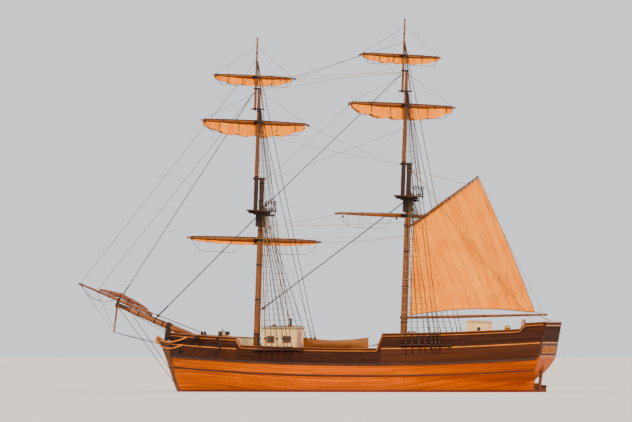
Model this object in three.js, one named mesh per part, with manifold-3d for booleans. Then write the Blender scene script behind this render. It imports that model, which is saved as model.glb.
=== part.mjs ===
// A two-masted brig afloat: planked wooden hull, two raked masts with three yards each, square sails
// gathered up to their yards, and a gaff sail set abaft the main mast.
// Millimetres. +X towards the bow, +Y to port, +Z up. The origin is on the waterplane amidships.
import * as THREE from "three";
import { mergeVertices } from "three/addons/utils/BufferGeometryUtils.js";
import Module from "manifold-3d";

const wasm = await Module();
wasm.setup();

// Driving dimensions of the hull.
const GAP = 0.5; // left between pieces that touch
const KEEL_Z = -2900;
const RABBET_Z = -2500; // where the planking meets the keel
const BACKBONE_HALF = 130; // half thickness of keel, stem and sternpost
const HALF_BEAM = 3400;
const BEAM_Z = 900; // height of the greatest breadth
const MIDSHIP = 0.52; // place of the fullest section, as a share of the length from aft
const STEM_HEAD_X = 13500;
const STEM_HEAD_Z = 3900;
const STEM_SWEEP = 2400; // how far the stem curves back down to the keel
const STERNPOST_X = -11650; // rabbet of the sternpost, at the keel
const STERNPOST_RAKE = 0.14;
const TUCK_Z = 900; // where the counter starts
const COUNTER_TOP_Z = 2300;
const COUNTER_REACH = 850;
const TRANSOM_RAKE = 0.2;
const TRANSOM_HALF = 2400;
const DECK_Z = 1950; // main deck at side, amidships
const SHEER_RISE = 550; // at 14 m from the lowest point
const SHEER_LOW_X = -1000;
const CAMBER = 90;
const DECK_THICK = 60;
const FORECASTLE_STEP = 750; // forecastle deck above the main deck
const QUARTERDECK_STEP = 1000;
const BULWARK_THICK = 130;
const FORECASTLE_BREAK = 0.8; // shares of the length from aft
const QUARTERDECK_BREAK = 0.409;
const POOP_RAIL_BREAK = 0.05;
const RAMP = 0.012; // length of a step in the rail, as a share

// Driving dimensions of the rig.
const RAKE = THREE.MathUtils.degToRad(2); // both masts lean aft
const BRACED = THREE.MathUtils.degToRad(35); // the yards, port arm forward
const TOPMAST_AHEAD = 400; // doublings: each upper mast stands ahead of the one below
const TOPGALLANT_AHEAD = 260;
const STEEVE = THREE.MathUtils.degToRad(22); // bowsprit above the horizontal
const BOWSPRIT_X = 13500; // where the bowsprit crosses the stem head
const BOWSPRIT_Z = 4420;

const finish = (color, roughness, metalness = 0) => new THREE.MeshStandardMaterial({ color, roughness, metalness });
const MATERIALS = {
  hullWood: finish(0xb5713a, 0.5),
  darkWood: finish(0x3a211a, 0.55),
  deckWood: finish(0xb9a078, 0.8),
  sparWood: finish(0xa9652f, 0.45),
  bottomPaint: finish(0x5b2a20, 0.8),
  cream: finish(0xe2cfae, 0.6),
  canvas: finish(0xecd9b8, 0.9),
  tarredRope: finish(0x2b2320, 0.85),
  hemp: finish(0xa98a5c, 0.9),
  iron: finish(0x1d1d1f, 0.5, 0.6),
  brass: finish(0xb08a3c, 0.35, 1),
};

const ship = new THREE.Group();
ship.name = "brig";

// Solids

// The closed solid of a geometry, with its shared corners merged.
function toSolid(geometry) {
  const bare = new THREE.BufferGeometry();
  const source = geometry.index ? geometry.toNonIndexed() : geometry;
  bare.setAttribute("position", source.getAttribute("position").clone());
  const merged = mergeVertices(bare, 1e-3);
  const mesh = new wasm.Mesh({
    numProp: 3,
    vertProperties: merged.attributes.position.array,
    triVerts: new Uint32Array(merged.index.array),
  });
  return new wasm.Manifold(mesh);
}

function toGeometry(solid) {
  const mesh = solid.getMesh();
  const geometry = new THREE.BufferGeometry();
  geometry.setAttribute("position", new THREE.BufferAttribute(new Float32Array(mesh.vertProperties), 3));
  geometry.setIndex(new THREE.BufferAttribute(new Uint32Array(mesh.triVerts), 1));
  geometry.computeVertexNormals();
  return geometry;
}

// The largest body of a solid, without the slivers that a cut can leave.
const largest = (solid) => solid.decompose().sort((a, b) => b.volume() - a.volume())[0];

// All the geometries joined, less those in the second list.
function combine(joined, removed = []) {
  const body = joined.map(toSolid).reduce((a, b) => a.add(b));
  return toGeometry(removed.map(toSolid).reduce((a, b) => a.subtract(b), body));
}

function add(name, geometry, material, parent = ship) {
  const mesh = new THREE.Mesh(geometry, material);
  mesh.name = name;
  parent.add(mesh);
  return mesh;
}

// A closed skin through rings of points [x, y, z]. Each end is zipped shut between its points k and n-1-k.
function skin(rings) {
  const n = rings[0].length;
  const faces = [];
  for (let i = 0; i < rings.length - 1; i++) {
    for (let k = 0; k < n; k++) {
      const [a, b] = [i * n + k, i * n + ((k + 1) % n)];
      faces.push([a, b, b + n], [a, b + n, a + n]);
    }
  }
  const last = (rings.length - 1) * n;
  for (let k = 0; k < n / 2 - 1; k++) {
    const [a, b, c, d] = [k, k + 1, n - 2 - k, n - 1 - k];
    faces.push([b, a, d], [last + a, last + b, last + d]);
    if (b !== c) faces.push([b, d, c], [last + b, last + c, last + d]);
  }
  const points = rings.flat().map((p) => new THREE.Vector3(...p));
  const volume = faces.reduce((sum, [a, b, c]) => sum + points[a].dot(points[b].clone().cross(points[c])), 0);
  const geometry = new THREE.BufferGeometry().setFromPoints(points);
  geometry.setIndex(faces.flatMap(([a, b, c]) => (volume > 0 ? [a, b, c] : [a, c, b])));
  return geometry;
}

// A turned spar up the Z axis, from rows of [height, radius].
function turned(rows, sides = 12) {
  const [start, end] = [rows[0][0], rows[rows.length - 1][0]];
  const profile = [[start, 0], ...rows, [end, 0]].map(([z, r]) => new THREE.Vector2(r, z));
  return new THREE.LatheGeometry(profile, sides).rotateX(Math.PI / 2);
}

// A flat ring round the Z axis.
function collar(inner, outer, low, high, sides = 12) {
  const corners = [[inner, low], [outer, low], [outer, high], [inner, high], [inner, low]];
  return new THREE.LatheGeometry(corners.map(([r, z]) => new THREE.Vector2(r, z)), sides).rotateX(Math.PI / 2);
}

// A box from its lowest to its highest corner.
function block(low, high) {
  const size = high.map((v, k) => v - low[k]);
  const middle = high.map((v, k) => (v + low[k]) / 2);
  return new THREE.BoxGeometry(...size).translate(...middle);
}

// A round bar between two points, by default with six sides.
function bar(from, to, radius, endRadius = radius, sides = 6) {
  const [a, b] = [new THREE.Vector3(...from), new THREE.Vector3(...to)];
  const along = b.clone().sub(a);
  const turn = new THREE.Quaternion().setFromUnitVectors(new THREE.Vector3(0, 1, 0), along.clone().normalize());
  return new THREE.CylinderGeometry(endRadius, radius, along.length(), sides)
    .applyQuaternion(turn)
    .translate(...a.add(b).multiplyScalar(0.5));
}

// A board cut from an outline in the X-Z plane, lying from y = -half to y = half.
function sideBoard(outline, half) {
  const shape = new THREE.Shape(outline.map(([x, z]) => new THREE.Vector2(x, z)));
  return new THREE.ExtrudeGeometry(shape, { depth: 2 * half, bevelEnabled: false })
    .rotateX(Math.PI / 2)
    .translate(0, half, 0);
}

const lerp = THREE.MathUtils.lerp;
const clamp01 = (v) => THREE.MathUtils.clamp(v, 0, 1);
const steps = (count, from = 0, to = 1) => Array.from({ length: count + 1 }, (_, i) => lerp(from, to, i / count));

// Hull form. A point of the side is given by its share t of the length from aft and its height z.

// Fore end of the planking: a stem that is upright at its head and curves back to the keel.
const stemX = (z) => STEM_HEAD_X - STEM_SWEEP * Math.max(0, (STEM_HEAD_Z - z) / (STEM_HEAD_Z - RABBET_Z)) ** 2.2;

// After end of the planking: raked sternpost, hollow counter, and flat transom.
function sternX(z) {
  const post = STERNPOST_X - STERNPOST_RAKE * (Math.min(z, TUCK_Z) - RABBET_Z);
  const counter = COUNTER_REACH * clamp01((z - TUCK_Z) / (COUNTER_TOP_Z - TUCK_Z)) ** 0.8;
  return post - counter - TRANSOM_RAKE * Math.max(0, z - COUNTER_TOP_Z);
}

// Half breadth of the after end: the post's own below the tuck, opening out to the transom.
function sternHalf(z) {
  const [low, wide] = [TUCK_Z - 100, COUNTER_TOP_Z + 300];
  const open = 1 - (1 - clamp01((z - low) / (wide - low))) ** 2.2;
  return lerp(BACKBONE_HALF, TRANSOM_HALF, open) - 0.09 * Math.max(0, z - wide);
}

// Half breadth amidships: rising floor and round bilge below, slight tumblehome above.
function midHalf(z) {
  const below = (1 - (1 - clamp01((z - RABBET_Z) / (BEAM_Z - RABBET_Z))) ** 3) ** 0.65;
  const above = Math.max(0, z - BEAM_Z) / 3000;
  return Math.max(BACKBONE_HALF, HALF_BEAM * below - 260 * above * above);
}

// How full a waterline's ends are: over 1 is hollow, under 1 is bluff.
const entryPower = (z) => lerp(2.2, 0.6, clamp01((z - RABBET_Z) / 5000) ** 0.75);
const runPower = (z) => lerp(2.4, 0.62, clamp01((z - RABBET_Z) / 4700) ** 0.8);

function hullHalf(t, z) {
  const ahead = t > MIDSHIP;
  const share = ahead ? (t - MIDSHIP) / (1 - MIDSHIP) : (MIDSHIP - t) / MIDSHIP;
  const end = ahead ? BACKBONE_HALF : sternHalf(z);
  const full = Math.max(0, Math.cos((Math.PI / 2) * Math.min(share, 1))) ** (ahead ? entryPower(z) : runPower(z));
  return lerp(end, Math.max(end, midHalf(z)), full);
}

const END_SWEEP = 3; // how quickly the ends' own lines fade into upright stations
const [LEVEL_STERN, LEVEL_STEM] = [sternX(2500), stemX(2500)];
const stationX = (t) => lerp(LEVEL_STERN, LEVEL_STEM, t);
const hullX = (t, z) =>
  stationX(t) + (sternX(z) - LEVEL_STERN) * (1 - t) ** END_SWEEP + (stemX(z) - LEVEL_STEM) * t ** END_SWEEP;
const shareAt = (x) => (x - stationX(0)) / (stationX(1) - stationX(0));

// A point of the hull's side, moved in from the outer face by inset.
const sidePoint = (t, z, inset = 0, side = 1) => [
  hullX(t, z),
  side * Math.max(8, hullHalf(t, z) - inset),
  z,
];

// Heights along the ship, at station t.
const mainDeckZ = (t) => DECK_Z + SHEER_RISE * ((stationX(t) - SHEER_LOW_X) / 14000) ** 2;
const deckStep = (t) => (t >= FORECASTLE_BREAK ? FORECASTLE_STEP : t <= QUARTERDECK_BREAK ? QUARTERDECK_STEP : 0);
const deckZ = (t) => mainDeckZ(t) + deckStep(t);
const deckTopAt = (x) => deckZ(shareAt(x)) + DECK_THICK + CAMBER;

// Rail above the main deck, by rows of [share from aft, height]; between rows it slopes.
const RAIL_ROWS = [
  [0, 2330],
  [POOP_RAIL_BREAK, 2330],
  [POOP_RAIL_BREAK + RAMP, 1950],
  [QUARTERDECK_BREAK, 1950],
  [QUARTERDECK_BREAK + RAMP, 950],
  [FORECASTLE_BREAK - RAMP, 950],
  [FORECASTLE_BREAK, 1450],
  [1, 1450],
];
function railZ(t) {
  const next = Math.max(1, RAIL_ROWS.findIndex(([share]) => share >= t));
  const [[t0, h0], [t1, h1]] = [RAIL_ROWS[next - 1], RAIL_ROWS[next]];
  return mainDeckZ(t) + lerp(h0, h1, (t - t0) / (t1 - t0));
}

// Stations from aft: evenly spread, closer at the bow, and doubled at the steps of deck and rail.
const BREAK_WIDTH = 0.0006;
const STATIONS = [
  ...[0, 0.025, 0.1, 0.16, 0.23, 0.31, 0.37, 0.47, MIDSHIP, 0.58, 0.65, 0.72, 0.84, 0.88, 0.915, 0.945, 0.97, 0.99, 1],
  ...[QUARTERDECK_BREAK, QUARTERDECK_BREAK + BREAK_WIDTH, FORECASTLE_BREAK - BREAK_WIDTH, FORECASTLE_BREAK],
  ...[POOP_RAIL_BREAK, POOP_RAIL_BREAK + RAMP, QUARTERDECK_BREAK + RAMP, FORECASTLE_BREAK - RAMP],
].sort((a, b) => a - b);
const LEVELS = [0, 0.03, 0.08, 0.16, 0.27, 0.4, 0.53, 0.66, 0.78, 0.9, 1]; // shares of the height, keel to main deck

// Heights of the side's corners: fair lines up to the main deck, then the deck's own edge.
const sideLevels = (t) => [...LEVELS.map((v) => lerp(RABBET_Z, mainDeckZ(t) - 1, v)), deckZ(t)];

// The planked hull, solid below its decks.
function hullBody() {
  const rings = STATIONS.map((t) => {
    const levels = sideLevels(t);
    const port = levels.map((z) => sidePoint(t, z));
    return [...port, ...port.map(([x, y, z]) => [x, -y, z]).reverse()];
  });
  return skin(rings);
}

// A deck between two shares of the length, inside the bulwarks, or a cutter of the same outline that fittings
// are trimmed with so that they stand on the cambered planks.
function deckSlab(from, to, bottom, grown = 0) {
  const inner = BULWARK_THICK + 16 - grown;
  const rings = STATIONS.filter((t) => t >= from && t <= to).map((t) => {
    const z = deckZ(t) + DECK_THICK + grown;
    const [x, y] = sidePoint(Math.min(Math.max(t, 0.006), 0.993), deckZ(t), inner);
    const half = Math.max(y, 60);
    const arch = [1, 0.6, 0.2, -0.2, -0.6, -1].map((w) => [x, w * half, z + CAMBER * (1 - w * w)]);
    return [[x, half, deckZ(t) + bottom], ...arch, [x, -half, deckZ(t) + bottom]];
  });
  return skin(rings);
}

const DECKS = {
  quarterdeck: [0, QUARTERDECK_BREAK],
  main_deck: [QUARTERDECK_BREAK + BREAK_WIDTH, FORECASTLE_BREAK - BREAK_WIDTH],
  forecastle_deck: [FORECASTLE_BREAK, 1],
};
const deckCutters = Object.values(DECKS).map(([from, to]) => deckSlab(from, to, -700, GAP));

// One side's bulwark: a wall of constant thickness that carries the hull's outer face up to the rail.
function bulwark(side) {
  const rings = STATIONS.map((t) => {
    const [low, high] = [deckZ(t) + GAP, railZ(t)];
    const middle = (low + high) / 2;
    const outer = [low, middle, high].map((z) => sidePoint(t, z, 0, side));
    const inner = [high, middle, low].map((z) => sidePoint(t, z, BULWARK_THICK, side));
    return [...outer, ...inner];
  });
  return skin(rings);
}

// The cap rail on one side's bulwark.
const CAP_THICK = 70;
const CAP_OUT = 45;
const CAP_IN = 60;
function capRail(side) {
  const rings = STATIONS.map((t) => {
    const z = railZ(t) + GAP;
    const [low, high] = [z, z + CAP_THICK];
    const edge = (height, inset) => {
      const [x, y] = sidePoint(t, z, inset, side);
      return [x, y, height];
    };
    const inset = BULWARK_THICK + CAP_IN;
    return [edge(low, -CAP_OUT), edge(high, -CAP_OUT), edge(high, inset), edge(low, inset)];
  });
  return skin(rings);
}

// Hull pieces

// A spar's ring: clear of a round mast of the given radius whatever way it is turned.
const PIN_GAP = 6;
const ringRadius = (mastRadius) => (mastRadius + PIN_GAP) / Math.cos(Math.PI / 12);

// The rudder stock stands abaft the sternpost and runs up into the counter.
const POST_DEPTH = 260;
const STOCK_AHEAD = -POST_DEPTH - 130; // of the sternpost's rabbet
const STOCK_RADIUS = 110;
const stockX = (z) => STERNPOST_X + STOCK_AHEAD - STERNPOST_RAKE * (z - RABBET_Z);
const stockPoint = (z) => [stockX(z), 0, z];
const STOCK_TOP_Z = 2200;
const BLADE_TOP_Z = 480;
const BLADE_CHORD = 900;
const BLADE_HALF = 75;

const trunk = bar(stockPoint(700), stockPoint(STOCK_TOP_Z + 40), STOCK_RADIUS + 25, STOCK_RADIUS + 25, 12);
add("hull", combine([hullBody()], [trunk]), MATERIALS.hullWood);

// Keel, stem with its cutwater, and sternpost.
const STEM_SIDED = 280;
const CUTWATER_REACH = 620;
function backbone() {
  const stemLevels = sideLevels(1);
  const inside = stemLevels.map((z) => [stemX(z) + GAP, z]);
  const outside = [...steps(10)].reverse().map((v) => {
    const z = lerp(RABBET_Z, 3700, v);
    return [stemX(z) + STEM_SIDED + CUTWATER_REACH * clamp01((z - 900) / 2800) ** 2.4, z];
  });
  const keelFore = [[stemX(RABBET_Z) + 150, KEEL_Z + 180], [stemX(RABBET_Z) - 500, KEEL_Z]];
  const heel = [[stockX(KEEL_Z) - 120, KEEL_Z], [stockX(RABBET_Z) - 120, RABBET_Z - 120]];
  const postAft = (z) => [STERNPOST_X - POST_DEPTH - STERNPOST_RAKE * (z - RABBET_Z), z];
  const postFore = (z) => [STERNPOST_X - GAP - STERNPOST_RAKE * (z - RABBET_Z), z];
  const post = [postAft(RABBET_Z - 120), postAft(600), postFore(600), [STERNPOST_X - GAP, RABBET_Z - GAP]];
  return sideBoard([...inside, ...outside, ...keelFore, ...heel, ...post], BACKBONE_HALF - 2);
}
add("backbone", backbone(), MATERIALS.bottomPaint);

// Rudder: a blade of the post's rake on its stock.
function rudder() {
  const fore = (z) => [stockX(z), z];
  const aft = (z, chord) => [stockX(z) - chord, z];
  const outline = [fore(RABBET_Z - 60), fore(BLADE_TOP_Z), aft(BLADE_TOP_Z, 420), aft(-250, 560)];
  outline.push(aft(-1500, BLADE_CHORD), aft(RABBET_Z + 100, BLADE_CHORD), aft(RABBET_Z - 60, BLADE_CHORD - 150));
  const stock = bar(stockPoint(RABBET_Z - 60), stockPoint(STOCK_TOP_Z), STOCK_RADIUS, STOCK_RADIUS, 12);
  return combine([sideBoard(outline, BLADE_HALF), stock]);
}
add("rudder", rudder(), MATERIALS.bottomPaint);

for (const [name, [from, to]] of Object.entries(DECKS)) {
  add(name, deckSlab(from, to, GAP), MATERIALS.deckWood);
}

// Bulwarks of both sides, joined across the stern by the taffrail; they carry the channels and catheads.
const FORE_MAST = { x: 7510, deckHalf: 230 };
const MAIN_MAST = { x: -2820, deckHalf: 240 };
const CHANNEL_HALF = 260; // reach out from the planking
const CHANNEL_THICK = 90;
const CHANNELS = [
  { from: FORE_MAST.x - 4300, to: FORE_MAST.x - 700, z: 2820 },
  { from: MAIN_MAST.x - 4300, to: MAIN_MAST.x - 700, z: 3130 },
];
const CATHEAD = { x: 11150, reach: 750, size: 200 };

function channel({ from, to, z }, side) {
  const rings = steps(4, shareAt(from), shareAt(to)).map((t) => {
    const [x, y] = sidePoint(t, z, 40, side);
    const outer = sidePoint(t, z, -CHANNEL_HALF, side)[1];
    return [[x, y, z], [x, outer, z], [x, outer, z + CHANNEL_THICK], [x, y, z + CHANNEL_THICK]];
  });
  return skin(rings);
}

function taffrailWall() {
  const half = (z) => sternHalf(z) - BULWARK_THICK / 2;
  const [low, high] = [deckZ(0) + GAP, railZ(0) - 15];
  const ring = (y, z) => [sternX(z), y, z];
  const wall = (z) => steps(1, -half(z), half(z)).map((y) => ring(y, z));
  const rings = [low, high].map((z) => {
    const [[xa, ya], [xb, yb]] = wall(z);
    return [[xa, ya, z], [xb, yb, z], [xb + BULWARK_THICK, yb, z], [xa + BULWARK_THICK, ya, z]];
  });
  return skin(rings);
}

function cathead(side) {
  const t = shareAt(CATHEAD.x);
  const top = railZ(t) - 30;
  const [, inner] = sidePoint(t, top, BULWARK_THICK / 2, side);
  const outer = inner + side * CATHEAD.reach;
  const half = CATHEAD.size / 2;
  const [low, high] = [Math.min(inner, outer), Math.max(inner, outer)];
  return block([CATHEAD.x - half, low, top - CATHEAD.size], [CATHEAD.x + half, high, top]);
}

const bothSides = [1, -1];
const walls = bothSides.flatMap((side) => [
  bulwark(side),
  ...CHANNELS.map((row) => channel(row, side)),
  cathead(side),
]);
const hullClearance = bothSides.map((way) => hullBody().translate(way * 0.4, 0, 0.4));
const deckClearance = deckCutters.map((cutter) => cutter.clone().scale(1.0002, 1, 1));
const bulwarks = combine([...walls, taffrailWall()], [...hullClearance, ...deckClearance]);
add("bulwarks", toGeometry(largest(toSolid(bulwarks))), MATERIALS.darkWood);

// The cap rail follows the top of the bulwarks right round the stern.
function taffrailCap() {
  const z = railZ(0) + GAP;
  const [half, x] = [sternHalf(z) + CAP_OUT, sternX(z)];
  return block([x - CAP_OUT, -half, z], [x + BULWARK_THICK + CAP_IN, half, z + CAP_THICK]);
}
add("cap_rail", combine([capRail(1), capRail(-1), taffrailCap()]), MATERIALS.darkWood);

// Deck fittings. Each is trimmed to the camber it stands on.
const fitting = (name, joined, material, removed = []) =>
  add(name, combine(joined, [...removed, ...deckCutters]), material);

const DECKHOUSE = { from: 4350, to: 6700, half: 1150, height: 2100, roof: 90, eaves: 110 };
{
  const { from, to, half, height, roof, eaves } = DECKHOUSE;
  const deck = deckTopAt((from + to) / 2);
  const chimney = bar([from + 500, 500, deck + height], [from + 500, 500, deck + height + 650], 90, 90, 8);
  fitting("deckhouse", [
    block([from, -half, deck - 200], [to, half, deck + height]),
    block([from - eaves, -half - eaves, deck + height], [to + eaves, half + eaves, deck + height + roof]),
    chimney,
  ], MATERIALS.cream);
}

const HATCH = { from: 600, to: 3000, half: 950, height: 420 };
fitting("cargo_hatch", [
  block([HATCH.from, -HATCH.half, deckTopAt(1800) - 300], [HATCH.to, HATCH.half, deckTopAt(1800) + HATCH.height]),
  block([HATCH.from + 90, -HATCH.half + 90, deckTopAt(1800)], [HATCH.to - 90, HATCH.half - 90, deckTopAt(1800) + 490]),
], MATERIALS.darkWood);

const SKYLIGHT = { from: -6100, to: -4700, half: 650, height: 520, ridge: 330 };
{
  const { from, to, half, height, ridge } = SKYLIGHT;
  const deck = deckTopAt((from + to) / 2);
  const roof = [-half - 50, half + 50].map((y) => [y, deck + height]);
  const gable = new THREE.Shape([...roof, [0, deck + height + ridge]].map(([y, z]) => new THREE.Vector2(y, z)));
  const cover = new THREE.ExtrudeGeometry(gable, { depth: to - from + 100, bevelEnabled: false })
    .rotateX(Math.PI / 2).rotateZ(Math.PI / 2).translate(from - 50, 0, 0);
  fitting("skylight", [block([from, -half, deck - 200], [to, half, deck + height]), cover], MATERIALS.sparWood);
}

// Companionway: a hood over the stairs, with its doorway facing forward.
const COMPANION = { from: -9000, to: -7500, half: 560, height: 1450, wall: 60, door: 420 };
{
  const { from, to, half, height, wall, door } = COMPANION;
  const deck = deckTopAt((from + to) / 2);
  const shell = block([from, -half, deck - 250], [to, half, deck + height]);
  const lid = block([from - 60, -half - 60, deck + height], [to + 60, half + 60, deck + height + 60]);
  const inside = block([from + wall, -half + wall, deck + 20], [to - wall, half - wall, deck + height - 60]);
  const doorway = block([to - wall - 5, -door, deck + 80], [to + 20, door, deck + height - 90]);
  fitting("companionway", [shell, lid], MATERIALS.cream, [inside, doorway]);
  const leaf = block([to - 50, -door + 8, deck + 90], [to - 5, door - 8, deck + height - 100]);
  add("companion_door", leaf, MATERIALS.sparWood);
}

// Windlass: barrel between two bitts on the forecastle deck.
const WINDLASS = { x: 9700, half: 900, radius: 230, above: 520 };
{
  const { x, half, radius, above } = WINDLASS;
  const deck = deckTopAt(x);
  const bitt = (y) => block([x - 130, y - 90, deck - 250], [x + 130, y + 90, deck + above + 420]);
  const knee = (y) => block([x + 100, y - 60, deck - 250], [x + 620, y + 60, deck + 260]);
  const bore = collar(0, 95, -2000, 2000).rotateX(Math.PI / 2).translate(x, 0, deck + above);
  const beam = block([x - 60, -half, deck + above + 330], [x + 60, half, deck + above + 420]);
  const frame = bothSides.flatMap((side) => [bitt(side * half), knee(side * half)]);
  fitting("windlass_bitts", [...frame, beam], MATERIALS.darkWood, [bore]);
  const rows = [[-1150, 85], [-800, 85], [-800, radius], [-560, radius - 50], [-300, radius], [300, radius]];
  rows.push([560, radius - 50], [800, radius], [800, 85], [1150, 85]);
  add("windlass_barrel", turned(rows).rotateX(Math.PI / 2).translate(x, 0, deck + above), MATERIALS.sparWood);
}

// Steering wheel ahead of its gear box.
const WHEEL = { x: -11350, radius: 620, above: 900 };
const WHEEL_Z = deckTopAt(WHEEL.x) + WHEEL.above;
{
  const { x, radius } = WHEEL;
  const deck = deckTopAt(x);
  const spokes = steps(7, 0, 7).map((i) => {
    const a = (i * Math.PI) / 4 + 0.2;
    const [y, z] = [Math.cos(a) * (radius + 130), Math.sin(a) * (radius + 130)];
    return bar([x, 0, WHEEL_Z], [x, y, WHEEL_Z + z], 24, 18, 5);
  });
  const rim = new THREE.TorusGeometry(radius - 40, 38, 5, 16).rotateY(Math.PI / 2).translate(x, 0, WHEEL_Z);
  const hub = turned([[-90, 110], [90, 110]], 12).rotateY(Math.PI / 2).translate(x, 0, WHEEL_Z);
  const axle = turned([[-520, 40], [0, 40]], 12).rotateY(Math.PI / 2).translate(x, 0, WHEEL_Z);
  add("steering_wheel", combine([...spokes, rim, hub, axle]), MATERIALS.sparWood);
  const box = block([x - 1000, -420, deck - 250], [x - 200, 420, WHEEL_Z + 120]);
  const lid = block([x - 1050, -470, WHEEL_Z + 120], [x - 150, 470, WHEEL_Z + 180]);
  const bore = collar(0, 50, -560, 0).rotateY(Math.PI / 2).translate(x, 0, WHEEL_Z);
  fitting("steering_box", [box, lid], MATERIALS.sparWood, [bore]);
}

const BINNACLE_X = -10200;
{
  const deck = deckTopAt(BINNACLE_X);
  const stand = turned([[deck - 200, 210], [deck + 120, 210], [deck + 160, 150], [deck + 850, 150], [deck + 900, 230],
    [deck + 1000, 230], [deck + 1180, 120]]).translate(BINNACLE_X, 0, 0);
  fitting("binnacle", [stand], MATERIALS.brass);
}

// Ship's boat on chocks over the hatch.
const BOAT = { x: 1800, length: 4600, half: 820, depth: 760 };
{
  const { x, length, half, depth } = BOAT;
  const keel = deckTopAt(x) + HATCH.height + 190;
  const form = (inset) => skin(steps(10).map((v) => {
    const w = 2 * v - 1;
    const plan = Math.max(0.02, 1 - Math.abs(w) ** 2.6) * (half - inset);
    const sheer = keel + depth * (1 + 0.25 * w * w) + (inset > 0 ? 30 : 0);
    const floor = keel + inset + depth * 0.35 * Math.abs(w) ** 4;
    const side = [0, 0.35, 0.7, 1].map((u) => [
      x + (w * (length - 2 * inset)) / 2,
      Math.max(inset > 0 ? 4 : 30, plan * (1 - (1 - u) ** 2.6)),
      lerp(floor, sheer, u),
    ]);
    return [...side, ...side.map(([px, py, pz]) => [px, -py, pz]).reverse()];
  }));
  const thwarts = [-1100, 0, 1100].map((at) =>
    block([x + at - 130, -half + 160, keel + depth - 260], [x + at + 130, half - 160, keel + depth - 220]));
  const body = toSolid(form(0)).subtract(toSolid(form(45)));
  const full = thwarts.map((seat) => toSolid(seat).intersect(toSolid(form(0)))).reduce((a, b) => a.add(b), body);
  add("ships_boat", toGeometry(largest(full)), MATERIALS.cream);
  const chock = (at) => block([x + at - 70, -620, deckTopAt(x) + 490 + GAP], [x + at + 70, 620, keel + 260]);
  const chocks = [-1000, 1000].map(chock);
  const spine = block([x - 1000, -60, deckTopAt(x) + 490 + GAP], [x + 1000, 60, keel - 60]);
  const nest = toSolid(form(-1));
  const cradle = [...chocks, spine].map(toSolid).reduce((a, b) => a.add(b)).subtract(nest);
  add("boat_chocks", toGeometry(largest(cradle)), MATERIALS.darkWood);
}

// Fife rails: belaying rails on posts abaft each mast.
const FIFE = { half: 850, height: 950, post: 75, plank: 130 };
const fifeRail = (name, x) => {
  const deck = deckTopAt(x);
  const posts = bothSides.map((side) =>
    block([x - FIFE.post, side * FIFE.half - FIFE.post, deck - 250], [x + FIFE.post, side * FIFE.half + FIFE.post, deck + FIFE.height]));
  const rail = block([x - FIFE.plank, -FIFE.half - 150, deck + FIFE.height - 180], [x + FIFE.plank, FIFE.half + 150, deck + FIFE.height - 90]);
  fitting(name, [...posts, rail], MATERIALS.darkWood);
};
fifeRail("fore_fife_rail", FORE_MAST.x - 560);
fifeRail("main_fife_rail", MAIN_MAST.x - 700);

// Anchors, hung by the ring from the catheads and laid back along the bow.
const ANCHOR = { shank: 1900, arm: 620, stock: 950, radius: 55 };
for (const [name, side] of [["anchor_port", 1], ["anchor_starboard", -1]]) {
  const t = shareAt(CATHEAD.x);
  const [ringX, ringZ] = [CATHEAD.x, railZ(t) - 30 - CATHEAD.size - 160];
  const ringY = sidePoint(t, railZ(t), 0, side)[1] + side * 520;
  const crown = new THREE.Vector3(ringX - ANCHOR.shank, 0, ringZ - 350);
  crown.y = sidePoint(shareAt(crown.x), crown.z, 0, side)[1] + side * 420;
  const ring = new THREE.Vector3(ringX, ringY, ringZ - 140);
  const along = ring.clone().sub(crown).normalize();
  const across = new THREE.Vector3(0, 0, 1).cross(along).normalize();
  const up = along.clone().cross(across).normalize();
  const at = (a, b, c) => crown.clone().addScaledVector(along, a).addScaledVector(across, b).addScaledVector(up, c);
  const { arm, radius } = ANCHOR;
  const pieces = [bar(at(0, 0, 0), at(ANCHOR.shank - 120, 0, 0), radius + 15, radius, 6)];
  for (const way of [1, -1]) {
    pieces.push(bar(at(-30, 0, 0), at(110, 0, way * arm * 0.55), radius + 15, radius, 6));
    pieces.push(bar(at(100, 0, way * arm * 0.53), at(420, 0, way * arm), radius, radius - 20, 6));
    pieces.push(bar(at(330, 0, way * arm * 0.84), at(420, 0, way * arm), 130, 20, 4));
  }
  pieces.push(bar(at(ANCHOR.shank - 260, -ANCHOR.stock * 0.38, 0), at(ANCHOR.shank - 260, ANCHOR.stock * 0.38, 0), 60, 60, 6));
  const eye = new THREE.TorusGeometry(110, 24, 5, 10).rotateX(Math.PI / 2).translate(...at(ANCHOR.shank, 0, 0));
  add(name, combine([...pieces, eye]), MATERIALS.iron);
}

// Bowsprit and jib-boom

const steeved = (geometry) => geometry.rotateY(Math.PI / 2 - STEEVE).translate(BOWSPRIT_X, 0, BOWSPRIT_Z);
const BOWSPRIT = { heel: -2650, head: 4150, radius: 230, tip: 150 };
const JIBBOOM = { heel: 1500, head: 7150, radius: 105, tip: 55, above: 330 };
const STRIKER = { at: 4050, length: 1900 };
{
  const { heel, head, radius, tip } = BOWSPRIT;
  const spar = turned([[heel, radius], [0, radius], [head, tip]]);
  const cap = block([-JIBBOOM.above - 170, -170, head - 130], [170, 170, head]);
  const saddle = block([-JIBBOOM.above + JIBBOOM.radius, -90, JIBBOOM.heel], [-100, 90, JIBBOOM.heel + 160]);
  const hole = collar(0, JIBBOOM.radius + 3, 0, 9000).translate(-JIBBOOM.above, 0, 0);
  const striker = bar([100, 0, STRIKER.at], [STRIKER.length, 0, STRIKER.at - 500], 75, 45, 8);
  fitting("bowsprit", [spar, cap, saddle, striker].map(steeved), MATERIALS.sparWood, [steeved(hole)]);
  const boom = turned([[JIBBOOM.heel, JIBBOOM.radius], [head, JIBBOOM.radius], [JIBBOOM.head, JIBBOOM.tip]]);
  add("jibboom", steeved(boom.translate(-JIBBOOM.above, 0, 0)), MATERIALS.sparWood);
}

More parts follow.
